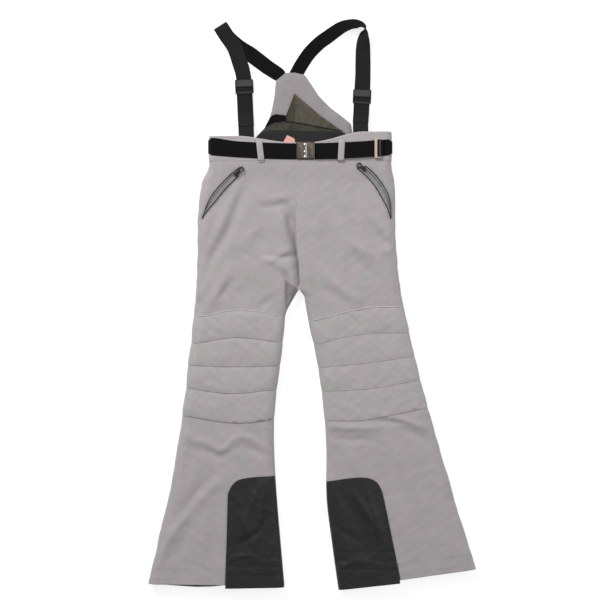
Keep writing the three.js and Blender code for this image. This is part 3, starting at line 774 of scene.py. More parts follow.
# Each crease in a guard, as a fold is listed
GUARD_CREASES = {
    "right": [
        ([(-75, -760), (-92, -830), (-100, -900)], 9, 2.0),
        ([(-88, -762), (-118, -830), (-138, -900)], 8, 1.6),
        ([(-72, -790), (-80, -860), (-84, -930)], 7, -1.4),
        ([(-140, -800), (-128, -860), (-104, -920)], 9, 1.5),
        ([(-66, -840), (-100, -880), (-150, -910)], 6, -1.3),
        ([(-95, -940), (-125, -932), (-158, -940)], 6, 1.4),
        ([(-60, -900), (-74, -940), (-70, -975)], 6, 1.2),
    ],
    "left": [
        ([(122, -786), (158, -842), (182, -878)], 8, 2.0),
        ([(80, -780), (96, -850), (104, -930)], 9, 1.5),
        ([(110, -800), (140, -870), (160, -950)], 8, -1.4),
        ([(150, -780), (176, -850), (196, -930)], 8, 1.4),
        ([(76, -860), (110, -884), (150, -900)], 6, -1.2),
        ([(90, -960), (130, -944), (176, -950)], 6, 1.4),
    ],
}


def make_back_hem(body):
    """The back of the hem, which hangs a little below the front and shows its dark inner face; this dark
    crescent also stands in for the shade in the hem's opening, as painted shade.
    """
    outline = closed_outline([(-338, -985), (-172, -985), (-172, -1003), (-200, -1006), (-240, -1007),
                              (-300, -1003), (-343, -997)], 110)
    cut_cloth("right_back_hem", outline, 5, lambda x, y, away: 6.0 + 2.0 * ramp(away, 0, 8), (0.0, 3.0),
              LINING, body, "lining", ["floor"], (0.175, 0.024))


def make_guard(leg, body):
    """The scuff guard on the inner half of the lower leg: creased, with a stitched edge and hem."""
    side = leg.side
    edge = smooth_path(GUARDS[side], 5)
    bottom = edge[-1, 1]
    hem = sorted([(leg.outer(leg.hem[0]), leg.hem[0]), (leg.inner(leg.hem[1]), leg.hem[1])])
    edge[-1, 1] = np.interp(edge[-1, 0], *zip(*hem)) - 8
    inner_y = np.arange(leg.hem[1] - 4, edge[0, 1] + 3, 5.0)
    inner = np.column_stack([leg.inner(inner_y) + leg.out * 1.2, inner_y])
    foot = np.linspace(edge[-1], inner[0], 24)[1:-1]
    outline = np.vstack([edge, foot, inner])

    def height(x, y, away):
        crease = 0.0
        for path, width, rise in GUARD_CREASES[side]:
            d, share = near_path(x, y, smooth_path(path, 10))
            fade = np.sin(math.pi * (0.08 + 0.84 * share)) ** 0.7
            crease = crease + rise * np.exp(-np.abs(d / width / 1.25) ** 1.3) * fade
        bands = sum(np.exp(-(((y - bottom - up) / 2.2) ** 2)) for up in (18, 38, 58))
        seam = 0.5 * np.exp(-(((away - 4) / 1.6) ** 2))
        fine = 0.7 * speckle(x, y, 17, 9) + 0.4 * np.abs(speckle(x, y, 8, 2))
        rise = 2.6 + (2.8 * crease + 0.6 * fine) * ramp(away, 0, 10) - bands + seam
        return leg.front(x, y) + np.maximum(rise, 0.5)

    cut_cloth(f"{side}_scuff_panel", outline, 3.4, height, (0.3, 1.6), GUARD, body, "scuff_guard",
              [f"{side}_leg_shell"], (0.15, 0.25), replaces=[f"{side}_scuff_guard"])
    # Stitches: twice along the curved edge, twice along the inner seam, and twice along the hem
    stitches = Parts()

    def sew(path):
        z = height(path[:, 0], path[:, 1], np.full(len(path), 6.0)) + 0.15
        stitches.stitch(np.column_stack([path, z]), 0.32, depth=0.3)

    for offset in (4.0, 9.0):
        run = resample(edge[: -int(offset)], 96)
        ahead = unit(np.gradient(run, axis=0))
        sew(run + np.column_stack([ahead[:, 1], -ahead[:, 0]]) * leg.out * offset)
    for offset in (9.0, 14.0):
        run = np.column_stack([leg.inner(inner_y) + leg.out * offset, inner_y])[2:-3]
        sew(resample(run, 90))
    for above in (14.0, 46.0):
        sew(np.linspace(edge[-1] + [leg.out * -4, above], inner[0] + [leg.out * 4, above], 60))
    stitches.make(f"{side}_guard_stitches", PIPING, body, slot="scuff_guard")


# ---------------------------------------------------------------- waistband and belt


def band_top(x):
    """Where the waistband's top edge is, along Y."""
    x = np.asarray(x, float)
    return 16 + np.where(x < 0, 15, 25) * ramp(np.abs(x), 20, 150)


def band_bottom(x):
    """Where its bottom edge is."""
    return -30 + 2 * (np.asarray(x, float) / WAIST_HALF) ** 2


def belt_middle(x):
    """Where the belt's middle line is."""
    return -5 + 10 * (np.asarray(x, float) / WAIST_HALF) ** 2


def waist_route(half, low_z, high_z, opens, closes, step=3.0):
    """From one side of the front opening round the back to the other: each point's x, z and way out."""
    radius, middle = (high_z - low_z) / 2, (high_z + low_z) / 2
    straight = half - radius
    front = np.arange(closes, straight, step)
    right_front = np.arange(-straight, opens + 1e-6, step)
    back = np.arange(straight, -straight, -step)
    turn = [(math.sin(a), math.cos(a)) for a in np.linspace(0, math.pi, 22)[1:-1]]
    route = [(x, high_z, 0, 1) for x in front]
    route += [(straight + radius * s, middle + radius * c, s, c) for s, c in turn]
    route += [(x, low_z, 0, -1) for x in back]
    route += [(-straight - radius * s, middle - radius * c, -s, -c) for s, c in turn]
    route += [(x, high_z, 0, 1) for x in [*right_front, opens]]
    return np.array(route)


def waist_ring(route, top, bottom, profile):
    """A band along the route. Its profile, all the way round, is (share of the height, depth inwards)."""
    share, deep = np.asarray(profile, float).T
    x, z, out_x, out_z = route.T[..., None]
    t, b = top(x), bottom(x)
    points = np.stack([x - out_x * deep, t + (b - t) * share, z - out_z * deep], -1)
    return points, capped(len(route), len(profile))


def make_waistband():
    """Shell cloth all the way round from the fly, with two rows of stitches, and the lining inside it."""
    route = waist_route(WAIST_HALF, WAIST_BACK, WAIST_FRONT, SLIT, SLIT)

    def drawn_in(share, seam):
        return 0.5 * math.exp(-(((share - seam) / 0.02) ** 2))

    outer = [(s, -0.9 * math.sin(math.pi * s) ** 0.5 + drawn_in(s, 0.09) + drawn_in(s, 0.92))
             for s in np.linspace(0.02, 0.98, 26)]
    profile = [(0.0, 0.9), *outer, (1.0, 0.9), (1.0, 2.2), (0.97, 3.0), (0.5, 3.0), (0.03, 3.0), (0.0, 2.2)]
    points, faces = waist_ring(route, band_top, band_bottom, profile)
    points[..., 1] += speckle(points[..., 0], points[..., 2] * 3, 40, 2) * 0.4
    band = piece("waistband_cloth", points, faces, SHELL, "trousers", slot="shell_cloth",
                 replaces=["waistband"], crease=50)
    stitches = Parts()
    for share in (0.1, 0.93):
        for part in (route[: len(route) // 4], route[-len(route) // 4:]):
            x, z = part[:, 0], part[:, 1]
            y = band_top(x) + (band_bottom(x) - band_top(x)) * share
            stitches.stitch(resample(np.column_stack([x, y, z + 0.35]), max(4, int(len(x) * 0.9))), 0.3)
    stitches.make("waistband_stitches", THREAD, "trousers", slot="shell_cloth")
    x, z, out_x, out_z = route.T
    rows = []
    for down in np.linspace(0, 1, 12):
        y = band_bottom(x) + 6 - 60 * down
        deep = 3.6 + 3.4 * ramp(down, 0.05, 0.5)
        rows.append(np.column_stack([x - out_x * deep, y, z - out_z * deep]))
    inner = piece("waist_lining", np.stack(rows), grid(12, len(route)), LINING, "trousers", slot="lining",
                  crease=80)


def webbing_profile(width, thick, ridges, depth=0.22):
    """The section of a ribbed band, as (place across, height), all the way round."""
    across = np.linspace(-width / 2 + 0.6, width / 2 - 0.6, ridges * 4 + 1)
    ridge = depth * np.abs(np.sin((across - across[0]) / (across[-1] - across[0]) * math.pi * ridges))
    over = list(zip(across, thick - depth + ridge))
    return [(-width / 2, thick * 0.35), (-width / 2, thick * 0.7), *over, (width / 2, thick * 0.7),
            (width / 2, thick * 0.35), (width / 2 - 0.6, 0.0), (-width / 2 + 0.6, 0.0)]


def make_belt():
    """Ribbed webbing round the waistband, its free end doubled back over it, and its loops."""
    half, under_clasp, off_band = BELT_WIDTH / 2, 21.4, 2.0
    route = waist_route(WAIST_HALF + off_band, WAIST_BACK - off_band, WAIST_FRONT + off_band,
                        CLASP[0] - under_clasp, CLASP[0] + under_clasp, 2.5)
    section = webbing_profile(BELT_WIDTH, BELT_THICK, 12)
    profile = [(0.5 - a / BELT_WIDTH, BELT_THICK - h) for a, h in section]

    def top(x):
        return belt_middle(x) + half + 3.5 * ramp(-x, 140, 200) - 6 * ramp(np.abs(x), 203, 212)

    def bottom(x):
        return belt_middle(x) - half + 4 * ramp(np.abs(x), 203, 212)

    points, faces = waist_ring(route, top, bottom, profile)
    piece("belt_webbing", points, faces, WEBBING, "trousers", slot="black_webbing", replaces=["belt"],
          crease=35)
    # The free end lies over the belt, lifts a little into its slider and ends past it
    x = np.arange(36, 191.5, 1.5)
    lift = 34.1 + 1.3 * ramp(x, 82, 108)
    rows = []
    for cx, z in zip(x, lift):
        wavy = 0.35 * math.sin(cx / 16.0)
        narrow = 1 - 1.5 * ramp(cx, 186, 191) / half
        rows.append([(cx, belt_middle(cx) - a * narrow, z + h + wavy * (1 - abs(a) / half))
                     for a, h in section])
    piece("belt_tail", np.array(rows), capped(len(rows), len(section)), WEBBING, "trousers",
          slot="black_webbing", replaces=["belt_free_end"], crease=35)
    for side, x, crest, slant in (("right", -92.0, 34.3, -3.0), ("left", 94.0, 36.4, 1.5)):
        make_loop(f"{side}_front_belt_loop", x, crest, slant)
        make_loop(f"{side}_back_belt_loop", x)


def make_loop(node, x, crest=None, slant=0.0):
    """A folded strip of shell cloth over the belt, sewn down above and below it. One behind has no crest."""
    middle = float(belt_middle(x))
    if crest:
        path = [(26.5, 31.6), (23.5, 31.9), (21.4, crest - 0.6), (18.6, crest + 0.2), (8, crest + 0.6),
                (-8, crest + 0.6), (-18.6, crest + 0.2), (-21.4, crest - 0.6), (-23.5, 31.9), (-26.5, 31.6)]
        thick = 1.9
    else:
        path = [(26, 2.6), (23, 1.4), (20, 0.15), (0, 0.12), (-20, 0.15), (-23, 1.4), (-26, 2.6)]
        thick = 1.1
    line = resample(smooth_path(path, 1.2), 60)
    across = np.linspace(-7, 7, 13)
    section = (0.35 * np.exp(-((across / 2.5) ** 2)) - 0.5 * np.exp(-(((np.abs(across) - 4.8) / 0.8) ** 2))
               - 0.8 * (np.abs(across) / 7) ** 8)
    ahead = np.gradient(line, axis=0)
    normal = np.column_stack([-ahead[:, 1], ahead[:, 0]])
    normal /= np.linalg.norm(normal, axis=1)[:, None]
    normal *= np.sign(normal[:, 1:2]) + (normal[:, 1:2] == 0)
    rows = []
    for p, n in zip(line, normal):
        lean = x + slant * p[0] / 26
        over = [(lean + a, middle + p[0] + n[0] * (thick + s), p[1] + n[1] * (thick + s))
                for a, s in zip(across, section)]
        under = [(lean + a, middle + p[0], p[1]) for a in across[::-1]]
        rows.append(over + under)
    points = np.array(rows)
    if not crest:
        points[..., 2] = np.maximum(points[..., 2], 0.1)
    piece(node + "_strip", points, capped(len(points), 2 * len(across)), SHELL, "trousers",
          slot="shell_cloth", replaces=[node], crease=50)
    if crest:
        bars, arch = Parts(), ((-0.8, 33.5), (0, 33.9), (0.8, 33.5))
        for y in (24.2, -24.2):
            for k in range(9):
                cx = x + slant * y / 26 - 5.2 + k * 1.3
                bars.tube([(cx, middle + y + dy, z) for dy, z in arch], 0.35, 5)
        bars.make(f"{node}_bar_tacks", THREAD, "trousers", slot="shell_cloth")


def rounded_plate(width, length, radius, count=8):
    """The outline of a plate with round corners."""
    out = []
    for i, j, start in ((1, 1, 0), (-1, 1, 90), (-1, -1, 180), (1, -1, 270)):
        for a in np.radians(start + np.linspace(0, 90, count)):
            out.append((i * (width / 2 - radius) + radius * math.cos(a),
                        j * (length / 2 - radius) + radius * math.sin(a)))
    return np.array(out)


def stacked(parts, outline, levels, centre):
    """A plate from outlines stacked in height: levels are (inset, z), from the underside up."""
    middle, size = outline.mean(0), np.ptp(outline, axis=0) / 2
    rows = []
    for inset, z in levels:
        ring = (outline - middle) * (size - inset) / size
        rows.append(np.column_stack([ring + middle + np.asarray(centre), np.full(len(ring), z)]))
    parts.add(np.vstack(rows), capped(len(rows), len(outline)))


def make_clasp():
    """A two-plate clasp: a base plate on the belt, and a hook plate with a polished bar down its middle."""
    cx, cy = CLASP
    hook_z = 33.8  # the hook plate's underside

    def plate(parts, width, length, corner, levels, x=0.0, y=0.0):
        heights = [(inset, hook_z + up) for inset, up in levels]
        stacked(parts, rounded_plate(width, length, corner), heights, (cx + x, cy + y))

    base = Parts()
    plate(base, 42, 42, 3, [(0.4, -1.9), (0, -1.6), (0, -0.9), (0.5, -0.5)])
    for end in (-1, 1):
        base.block((cx, cy + end * 19.2, hook_z - 0.2), (38, 2.4, 1.0), edge=0.4)
    base.make("clasp_base", BRONZE, "trousers", slot="gunmetal", replaces=["clasp_base_plate"], crease=30)
    cover = Parts()
    for x in (-11.6, 11.6):
        plate(cover, 14.5, 36.5, 2.2, [(0.5, 0), (0, 0.4), (0, 1.5), (0.7, 2.1), (1.6, 2.3)], x)
        plate(cover, 8.5, 24, 1.6, [(0, 2.1), (0, 2.6), (0.6, 2.9)], x)
    plate(cover, 10, 36.5, 1.0, [(0, 0), (0, 1.0), (0.4, 1.2)])
    cover.tube([(cx + 20, cy + y, hook_z + 1.2) for y in (-19.3, 0, 19.3)], 1.25, 16)
    cover.make("clasp_cover", GUNMETAL, "clasp_hook", slot="gunmetal", replaces=["clasp_hook_plate"],
               crease=30)
    bar = Parts()
    plate(bar, 4.4, 33, 2.0, [(0.2, 1.1), (0, 1.6), (0, 2.6), (0.5, 3.1), (1.3, 3.35)])
    for y in (13.0, -4.0, -15.0):
        plate(bar, 8.4, 6.0, 2.8, [(0.2, 1.1), (0, 1.5), (0.3, 3.0), (2.0, 4.0)], 0, y)
    bar.make("clasp_centre_bar", CHROME, "clasp_hook", slot="polished_metal", crease=30)


def box_of(node):
    """A CAD node's low and high corners, in the pattern's millimetres."""
    return [np.array(corner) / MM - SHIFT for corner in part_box(node)]


def make_belt_slider():
    """A pale frame on the belt's free end, open round its dark bar."""
    lo, hi = box_of("belt_slider")
    cx, cy, cz = (lo + hi) / 2
    body = "belt_end_slider"
    shape = Parts().block((cx - 4.6, cy, hi[2] - 0.8), (6.0, 45, 1.6), edge=0.5)
    for side in (-1, 1):
        shape.block((cx + side * 5.3, cy, lo[2] + 0.6), (4.6, 45, 1.2), edge=0.4)
        shape.block((cx, cy + side * 21.2, cz), (14.5, 2.4, hi[2] - lo[2] - 0.4), edge=0.6)
    shape.make("belt_end_frame", SILVER, body, slot="polished_metal", replaces=["belt_slider"], crease=30)
    bar = Parts().block((cx + 4.6, cy, hi[2] - 0.9), (5.0, 41, 1.4), edge=0.4)
    bar.make("belt_end_bar", BRONZE, body, slot="gunmetal", crease=30)


def cad_trim(node, metal, width):
    """Small hardware keeps the shape that it has in the frame, with its edges taken off."""
    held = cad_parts[node]
    held.data.materials.clear()
    held.data.materials.append(metal)
    edge = held.modifiers.new("edges", "BEVEL")
    edge.width = width * MM
    edge.segments = 3
    edge.limit_method = "ANGLE"
    edge.angle_limit = math.radians(40)
    edge.harden_normals = True
    for face in held.data.polygons:
        face.use_smooth = True


# ---------------------------------------------------------------- fly and pockets


def make_fly():
    """The zip behind the centre seam, on its facing, and the hook and bar above it."""
    cad_trim("waist_hook", CHROME, 0.2)
    cad_trim("waist_bar", CHROME, 0.2)
    cad_trim("fly_slider", ZIP_METAL, 0.3)
    outline = closed_outline([(-33, -39), (13, -39), (13, -120), (8, -138), (-2, -143), (-33, -143)], 90)
    cut_cloth("fly_facing", outline, 7, lambda x, y, away: 18.2 + 0.4 * ramp(away, 0, 5), (0.1, 0.9), LINING,
              "trousers", "lining", ["right_leg_shell"], (0.046, 0.104), area=False, replaces=["fly_shield"])
    tape = Parts()
    for side in (-1, 1):
        stacked(tape, rounded_plate(11.6, 97, 0.6), [(0, 19.2), (0, 20.1)], (SLIT + side * 7, -91))
    tape.make("fly_zip_tape", TAPE, "trousers", slot="zip_tape", replaces=["fly_zip"], crease=40)
    teeth = Parts()
    for k in range(44):
        y = -44.5 - k * 2.1
        teeth.block((SLIT + (0.7 if k % 2 else -0.7), y, 20.0), (3.0, 1.1, 1.3), edge=0.25)
    teeth.make("fly_zip_teeth", ZIP_METAL, "trousers", slot="zip_metal", crease=30)


# Three points on each pocket zip's arc, its width, and how far its top end is cut on the slant
POCKETS = {
    "right": ([(-141, -52), (-197, -110), (-226, -160)], 15.0, 0.07),
    "left": ([(140, -41), (189, -97), (208, -160)], 17.0, -0.05),
}


def circle_through(a, b, c):
    """The centre of the circle through three points, and its radius."""
    pulls = ((b, c), (c, a), (a, b))
    turned = 2 * sum(own[0] * (p[1] - q[1]) for own, (p, q) in zip((a, b, c), pulls))
    squares = [x * x + y * y for x, y in (a, b, c)]
    centre = np.array([sum(square * (p[1] - q[1]) for square, (p, q) in zip(squares, pulls)) / turned,
                       sum(square * (q[0] - p[0]) for square, (p, q) in zip(squares, pulls)) / turned])
    return centre, np.hypot(*(np.array(a) - centre))


def make_pocket(leg):
    """An arched zip between two piped lips, wider at its top, with its slider, pull and bag."""
    side = leg.side
    arc, width, slant = POCKETS[side]
    centre, radius = circle_through(*arc)
    angles = np.unwrap([math.atan2(y - centre[1], x - centre[0]) for x, y in arc])
    share = np.linspace(0, 1, 110)
    half = width / 2 * (1 - 0.95 * ramp(share, 0.55, 1.02)) * (0.92 + 0.08 * ramp(share, 0, 0.2))

    def line(offset, rise, clear=0.0):
        turn = angles[0] + (angles[2] - angles[0]) * (share - slant * offset * (1 - share) ** 3)
        out = radius + offset * half + np.sign(offset) * clear
        flat = centre + np.column_stack([np.cos(turn), np.sin(turn)]) * out[:, None]
        return np.column_stack([flat, leg.front(flat[:, 0], flat[:, 1]) + rise])

    across = np.linspace(-1, 1, 15)
    rows = np.stack([line(a, 0.9 + 0.25 * (1 - a * a)) for a in across], 1)
    tape = piece(f"{side}_pocket_tape", rows, grid(110, 15), TAPE, "trousers", slot="zip_tape",
                 replaces=[f"{side}_pocket_zip"], crease=60)
    lips = Parts()
    for a in (-1.0, 1.0):
        lips.tube(line(a, 1.0), 1.3, 10, taper=3)
    top_end = [line(a, rise)[0] for a, rise in ((1.0, 1.2), (0.4, 1.3), (-0.4, 1.3), (-1.0, 1.2))]
    lips.tube(resample(top_end, 10), 1.7, 8)
    lips.make(f"{side}_pocket_piping", PIPING, "trousers", slot="zip_tape")
    teeth = Parts()
    for row in (-1, 1):
        chain = line(0.35 + row * 0.09, 1.3)
        heading = np.gradient(chain, axis=0)
        for k in range(4, 92, 2):
            at = k + (row > 0)
            teeth.block(chain[at], (1.0, 1.3, 0.7), math.atan2(*heading[at, 1::-1]), edge=0.2)
    teeth.make(f"{side}_pocket_teeth", ZIP_METAL, "trousers", slot="zip_metal", crease=30)
    stitches = Parts()
    for a in (-1.0, 1.0):
        stitches.stitch(line(a, 0.2, 4.5)[2:-2], 0.32)
    stitches.make(f"{side}_pocket_stitches", THREAD, "trousers", slot="shell_cloth")
    cad_trim(f"{side}_pocket_slider", ZIP_METAL, 0.35)
    cad_trim(f"{side}_pocket_pull", ZIP_METAL, 0.3)
    bag = corners_of(f"{side}_pocket_bag")
    middle = bag.mean(0)
    bag = bag[np.argsort(np.arctan2(bag[:, 1] - middle[1], bag[:, 0] - middle[0]))]
    cut_cloth(f"{side}_pocket_pouch", closed_outline(bag, 120), 9,
              lambda x, y, away: np.minimum(24, leg.front(x, y) - 3.6), (0.1, 0.8), LINING, "trousers",
              "lining", [f"{side}_leg_shell"], (0.11, 0.15), replaces=[f"{side}_pocket_bag"])


# ---------------------------------------------------------------- yoke, mesh and braces

BRACE_BEND = ("trousers", "braces", (0, 34, 0), (0, 100, 0))
# Each brace: its middle line as x, y, z, the width there, and how far it has rolled over, in degrees
BRACES = {
    "right": [
        (-123.2, 4, 26.4, 35.5, 0), (-123.6, 26, 25.6, 35.5, 0), (-124.2, 44, 21.5, 35.5, 0),
        (-125, 62, 12, 35.5, 0), (-125.9, 76, 4.9, 35.5, 0), (-126.4, 86, 2.5, 35.8, 0),
        (-126.9, 98, 2.4, 36, 0), (-127.8, 119, 2.4, 36.6, 0), (-129.1, 146, 2.4, 36.6, 0),
        (-129.9, 160, 2.4, 35.6, 0), (-131.7, 174, 2.4, 34.8, 0), (-134.4, 186, 2.5, 35.4, 0),
        (-139, 200.3, 2.6, 35.5, 0), (-146.4, 223.3, 2.8, 35.5, 0), (-154.7, 241.7, 3.2, 35, 0),
        (-170.8, 264.7, 5.6, 35, 0), (-181, 280.5, 7.6, 34.5, 0), (-184.4, 285.8, 5.2, 34.5, 0),
        (-180, 280.5, 2.2, 34, 0), (-168, 262, 1.9, 34, 0), (-148, 243.5, 1.9, 34, 0),
        (-131, 231, 1.9, 34.5, 0), (-115.5, 221.5, 1.9, 35, 0), (-95, 206, 1.9, 35, 0),
        (-74.6, 190.7, 1.9, 34, 0), (-50, 174.5, 2.2, 32, 0), (-44, 169, 2.2, 26, 0),
    ],
    "left": [
        (138.4, 4, 26.4, 35.5, 0), (138.7, 26, 25.6, 35.5, 0), (138.8, 44, 21.5, 35.5, 0),
        (138.8, 62, 12, 35.5, 0), (140, 80, 4, 35.5, 0), (141.0, 98, 2.4, 36.4, 0),
        (142.3, 120, 2.4, 37.2, 0), (143.4, 146, 2.4, 36.6, 0), (144.4, 172.7, 2.4, 35.5, 0),
        (144.6, 205, 2.6, 35, 0), (144.8, 228, 3.2, 34, 5), (145.6, 245, 6.6, 33, 20),
        (147.8, 261, 12.2, 32.5, 44), (149.6, 270, 15.2, 32, 63), (149.4, 277, 16.5, 32, 84),
        (146.2, 283, 15.8, 32, 112), (138, 288, 12.9, 31.5, 132), (126, 290.6, 11.3, 31, 141),
        (114.4, 289.4, 10.3, 31, 146), (102, 285.6, 8.1, 31, 155), (91.4, 280.6, 5.6, 31, 165),
        (78, 271.6, 3.6, 31, 173), (64, 261.5, 1.9, 31.5, 180), (47.7, 250, 1.9, 31.5, 180),
        (34, 237.5, 1.9, 31.5, 180), (20, 222.4, 1.9, 31.5, 180), (4, 199, 1.9, 31.5, 180),
        (-9, 176, 2.2, 31, 180), (-13, 169, 2.2, 30, 180),
    ],
}
SHOULDER = {"right": (-184.4, 285.8), "left": (146, 277)}
TAIL_END = {"right": 52, "left": 60}  # where the doubled end stops, along Y
ADJUSTER_TURN = {"right": 2.8, "left": -2.5}
# Each block of an adjuster: its middle across and along the strap, its height, and its size
ADJUSTER_BLOCKS = [
    (0, 7.6, 7.0, (40, 16.8, 1.5)),  # a broad bar and a narrow one over the webbing
    (0, -13.8, 6.9, (40, 4.6, 1.6)),
    (0, -3, 1.1, (41, 5, 1.3)),  # the bar under it
    (-20.1, 0, 4.0, (2, 32, 7.2)),  # the rails
    (20.1, 0, 4.0, (2, 32, 7.2)),
    (-17.6, 0, 1.1, (5, 31, 1.3)),  # a ledge along each rail, under the webbing's edge
    (17.6, 0, 1.1, (5, 31, 1.3)),
]
ADJUSTER_PLATE = (0, 7.6, 8.0, (34, 13.5, 1.4))  # raised, on the broad bar


def sweep(path, section, width, roll):
    """A band along a path, flat side up where the roll is 0. The section's width is one unit."""
    p = np.asarray(path, float)
    ahead = unit(np.gradient(p, axis=0))
    side = []
    for d in ahead:
        level = np.array([d[1], -d[0], 0.0])
        if side and (np.linalg.norm(level) < 0.35 or level @ side[-1] < 0):
            level = side[-1] if np.linalg.norm(level) < 0.35 else -level
        side.append(level / np.linalg.norm(level))
    side = np.array(side)
    up = np.cross(side, ahead)
    c, s = np.cos(np.radians(roll))[:, None], np.sin(np.radians(roll))[:, None]
    side, up = side * c + up * s, up * c - side * s
    section = np.asarray(section, float)
    wide = section[:, 0] * np.asarray(width, float)[:, None]
    points = p[:, None] + side[:, None] * wide[..., None] + up[:, None] * section[:, 1][:, None]
    return points, capped(len(p), len(section))


def make_brace(side):
    """One band up the front, over the shoulder and down to the yoke, and the end that its adjuster holds."""
    marks = np.array(BRACES[side], float)
    section = [(a / 36, h) for a, h in webbing_profile(36, 1.6, 12, 0.25)]
    path = smooth_path(marks[:, :4], 3)
    reached = [np.argmin(np.linalg.norm(path[:, :3] - mark[:3], axis=1)) for mark in marks]
    roll = np.interp(np.arange(len(path)), reached, marks[:, 4])
    points, faces = sweep(path[:, :3], section, path[:, 3], roll)
    points[..., 2] = np.maximum(points[..., 2], 0.15)
    band = piece(f"{side}_brace", points, faces, ELASTIC, None, slot="black_webbing", bend=BRACE_BEND,
                 replaces=[f"{side}_front_brace", f"{side}_rear_brace"], crease=35)
    # Past the shoulder the band shows its darker inner face
    turned = len(section) * np.argmin(np.linalg.norm(path[:, :2] - SHOULDER[side], axis=1))
    band.data.materials.append(WEBBING)
    inner_face = [int(i >= turned) for i in range(len(band.data.polygons))]
    band.data.polygons.foreach_set("material_index", inner_face)
    # The end that comes back down from the adjuster lies over the strand
    lo, hi = box_of(f"{side}_brace_adjuster")
    top = (lo[1] + hi[1]) / 2
    front = path[: np.argmax(path[:, 1] > 160)]
    tail = front[(front[:, 1] < top + 2) & (front[:, 1] > TAIL_END[side])]
    count = len(tail)
    points, faces = sweep(tail[:, :3] + [0.1, 0, 1.75], section, np.full(count, 36.6), np.zeros(count))
    piece(f"{side}_brace_tail", points, faces, ELASTIC, None, slot="black_webbing", bend=BRACE_BEND,
          crease=35)
    make_adjuster(side)
    node = f"{side}_brace_anchor"
    lo, hi = box_of(node)
    foot = Parts()
    stacked(foot, rounded_plate(hi[0] - lo[0], 30, 1.5), [(0.3, 26.2), (0, 26.6), (0, 27.4), (0.4, 27.8)],
            ((lo[0] + hi[0]) / 2, -1))
    foot.make(f"{side}_brace_foot", WEBBING, "trousers", slot="black_webbing", replaces=[node], crease=30)


def make_adjuster(side):
    """A three-bar slider: bars over and under the webbing between two rails, and a glossy raised plate
    coloured lighter than the frame as a painted highlight.
    """
    node, body = f"{side}_brace_adjuster", f"{side}_adjuster"
    cx, cy, _ = sum(box_of(node)) / 2
    turn = math.radians(ADJUSTER_TURN[side])
    c, s = math.cos(turn), math.sin(turn)

    def blocks(listed, edge):
        shape = Parts()
        for u, v, z, size in listed:
            shape.block((cx + u * c - v * s, cy + u * s + v * c, z), size, turn, edge)
        return shape

    frame_shape, plate = blocks(ADJUSTER_BLOCKS, 0.7), blocks([ADJUSTER_PLATE], 0.9)
    frame_shape.make(f"{body}_frame", PLASTIC, body, slot="black_plastic", replaces=[node], crease=30)
    plate.make(f"{body}_plate", PLATE_HIGHLIGHT, body, slot="black_plastic", crease=30)


def cut_size(shape):
    """The width and height of the piece that a shape is cut from, in metres."""
    return tuple(np.ptp(np.array(shape), axis=0) * MM * 1.02)


def make_yoke():
    """The back yoke's inverted V in shell cloth."""
    shape = [(-56, 160), (-33, 178), (-12, 178), (6, 174), (12, 171), (44, 123), (71, 96), (98, 76),
             (117, 60), (121, 32), (110, 31), (100, 41), (44, 81), (-13, 130), (-32, 81), (-34, 74),
             (-71, 74), (-66, 90), (-60, 120)]

    def height(x, y, away):
        return (YOKE_REST + 2.2 + 1.4 * rounded(away, 7) + 1.5 * speckle(x, y, 40, 6)
                + 0.5 * speckle(x, y, 14, 8) - 0.55 * np.exp(-(((away - 6) / 1.3) ** 2)))

    cut_cloth("back_yoke_cloth", closed_outline(shape, 260), 4.2, height, (0.1, 2.6), YOKE, None,
              "shell_cloth", ["floor"], (0.219, 0.138), replaces=["back_yoke"], bend=BRACE_BEND)


NET_BACKS = {
    "back_net_seam_band": (LINING, 3.2, [(-16, 140), (-38, 84), (-38, 62), (-13, 60), (-11, 84), (-13, 140)]),
    "back_net_backing": (BACKING, 2.7, [(-15, 139), (-15, 112), (-14, 84), (-16, 56), (40, 50), (104, 42),
                                        (46, 88), (-9, 139)]),
}


def make_net():
    """Mesh in the yoke's fork, its threads round open cells that are set like bricks, and what backs it."""
    for name, (cloth, level, shape) in NET_BACKS.items():
        cut_cloth(name, closed_outline(shape, 110), 4,
                  lambda x, y, away: level + 0.4 * np.sin(x / 17 + y / 23) + 0.12 * speckle(x, y, 9, 3),
                  (0.0, 0.3), cloth, None, "mesh_cloth", ["floor"], cut_size(shape), bend=BRACE_BEND)
    outline = np.array([(-13, 128.5), (-31, 80.5), (-60, 40), (-40, 34), (30, 34), (99, 42), (43, 79.5)])
    pitch, thread = 2.6, 0.5
    a, b = pitch / 2, pitch * 0.45
    rings = [(a, b, 0), (a - thread, b - thread, 0.25)]
    corners = [(-1, -1), (1, -1), (1, 1), (-1, 1)]
    faces = [[k, (k + 1) % 4, (k + 1) % 4 + 4, k + 4] for k in range(4)]
    cells = Parts()
    for j, y in enumerate(np.arange(34, 130, pitch * 0.9)):
        xs = np.arange(-62, 100, pitch) + (pitch / 2 if j % 2 else 0)
        spots = np.column_stack([xs, np.full(len(xs), y)])
        for x, _ in spots[inside(spots, outline)]:
            z = YOKE_REST + 0.7 + 0.5 * math.sin(x / 17 + y / 23)
            cells.add([(x + i * dx, y + k * dy, z + up) for dx, dy, up in rings for i, k in corners], faces)
    made = cells.make("back_net", NET, None, slot="mesh_cloth", replaces=["back_mesh"], bend=BRACE_BEND)


FACING_BLOCKS = {
    "back_facing_corner": (WEBBING, [(-82, 52), (-71, 72), (-64, 79.5), (-55, 82), (-34, 79.5), (-33, 67),
                                     (-60, 63)]),
    "back_facing_foot": (LINING, [(-103, 28), (-91, 40), (-70, 45.5), (0, 44), (50, 44), (97, 41), (112, 32),
                                  (109, 25), (60, 15), (0, 10), (-60, 13), (-99, 21)]),
}


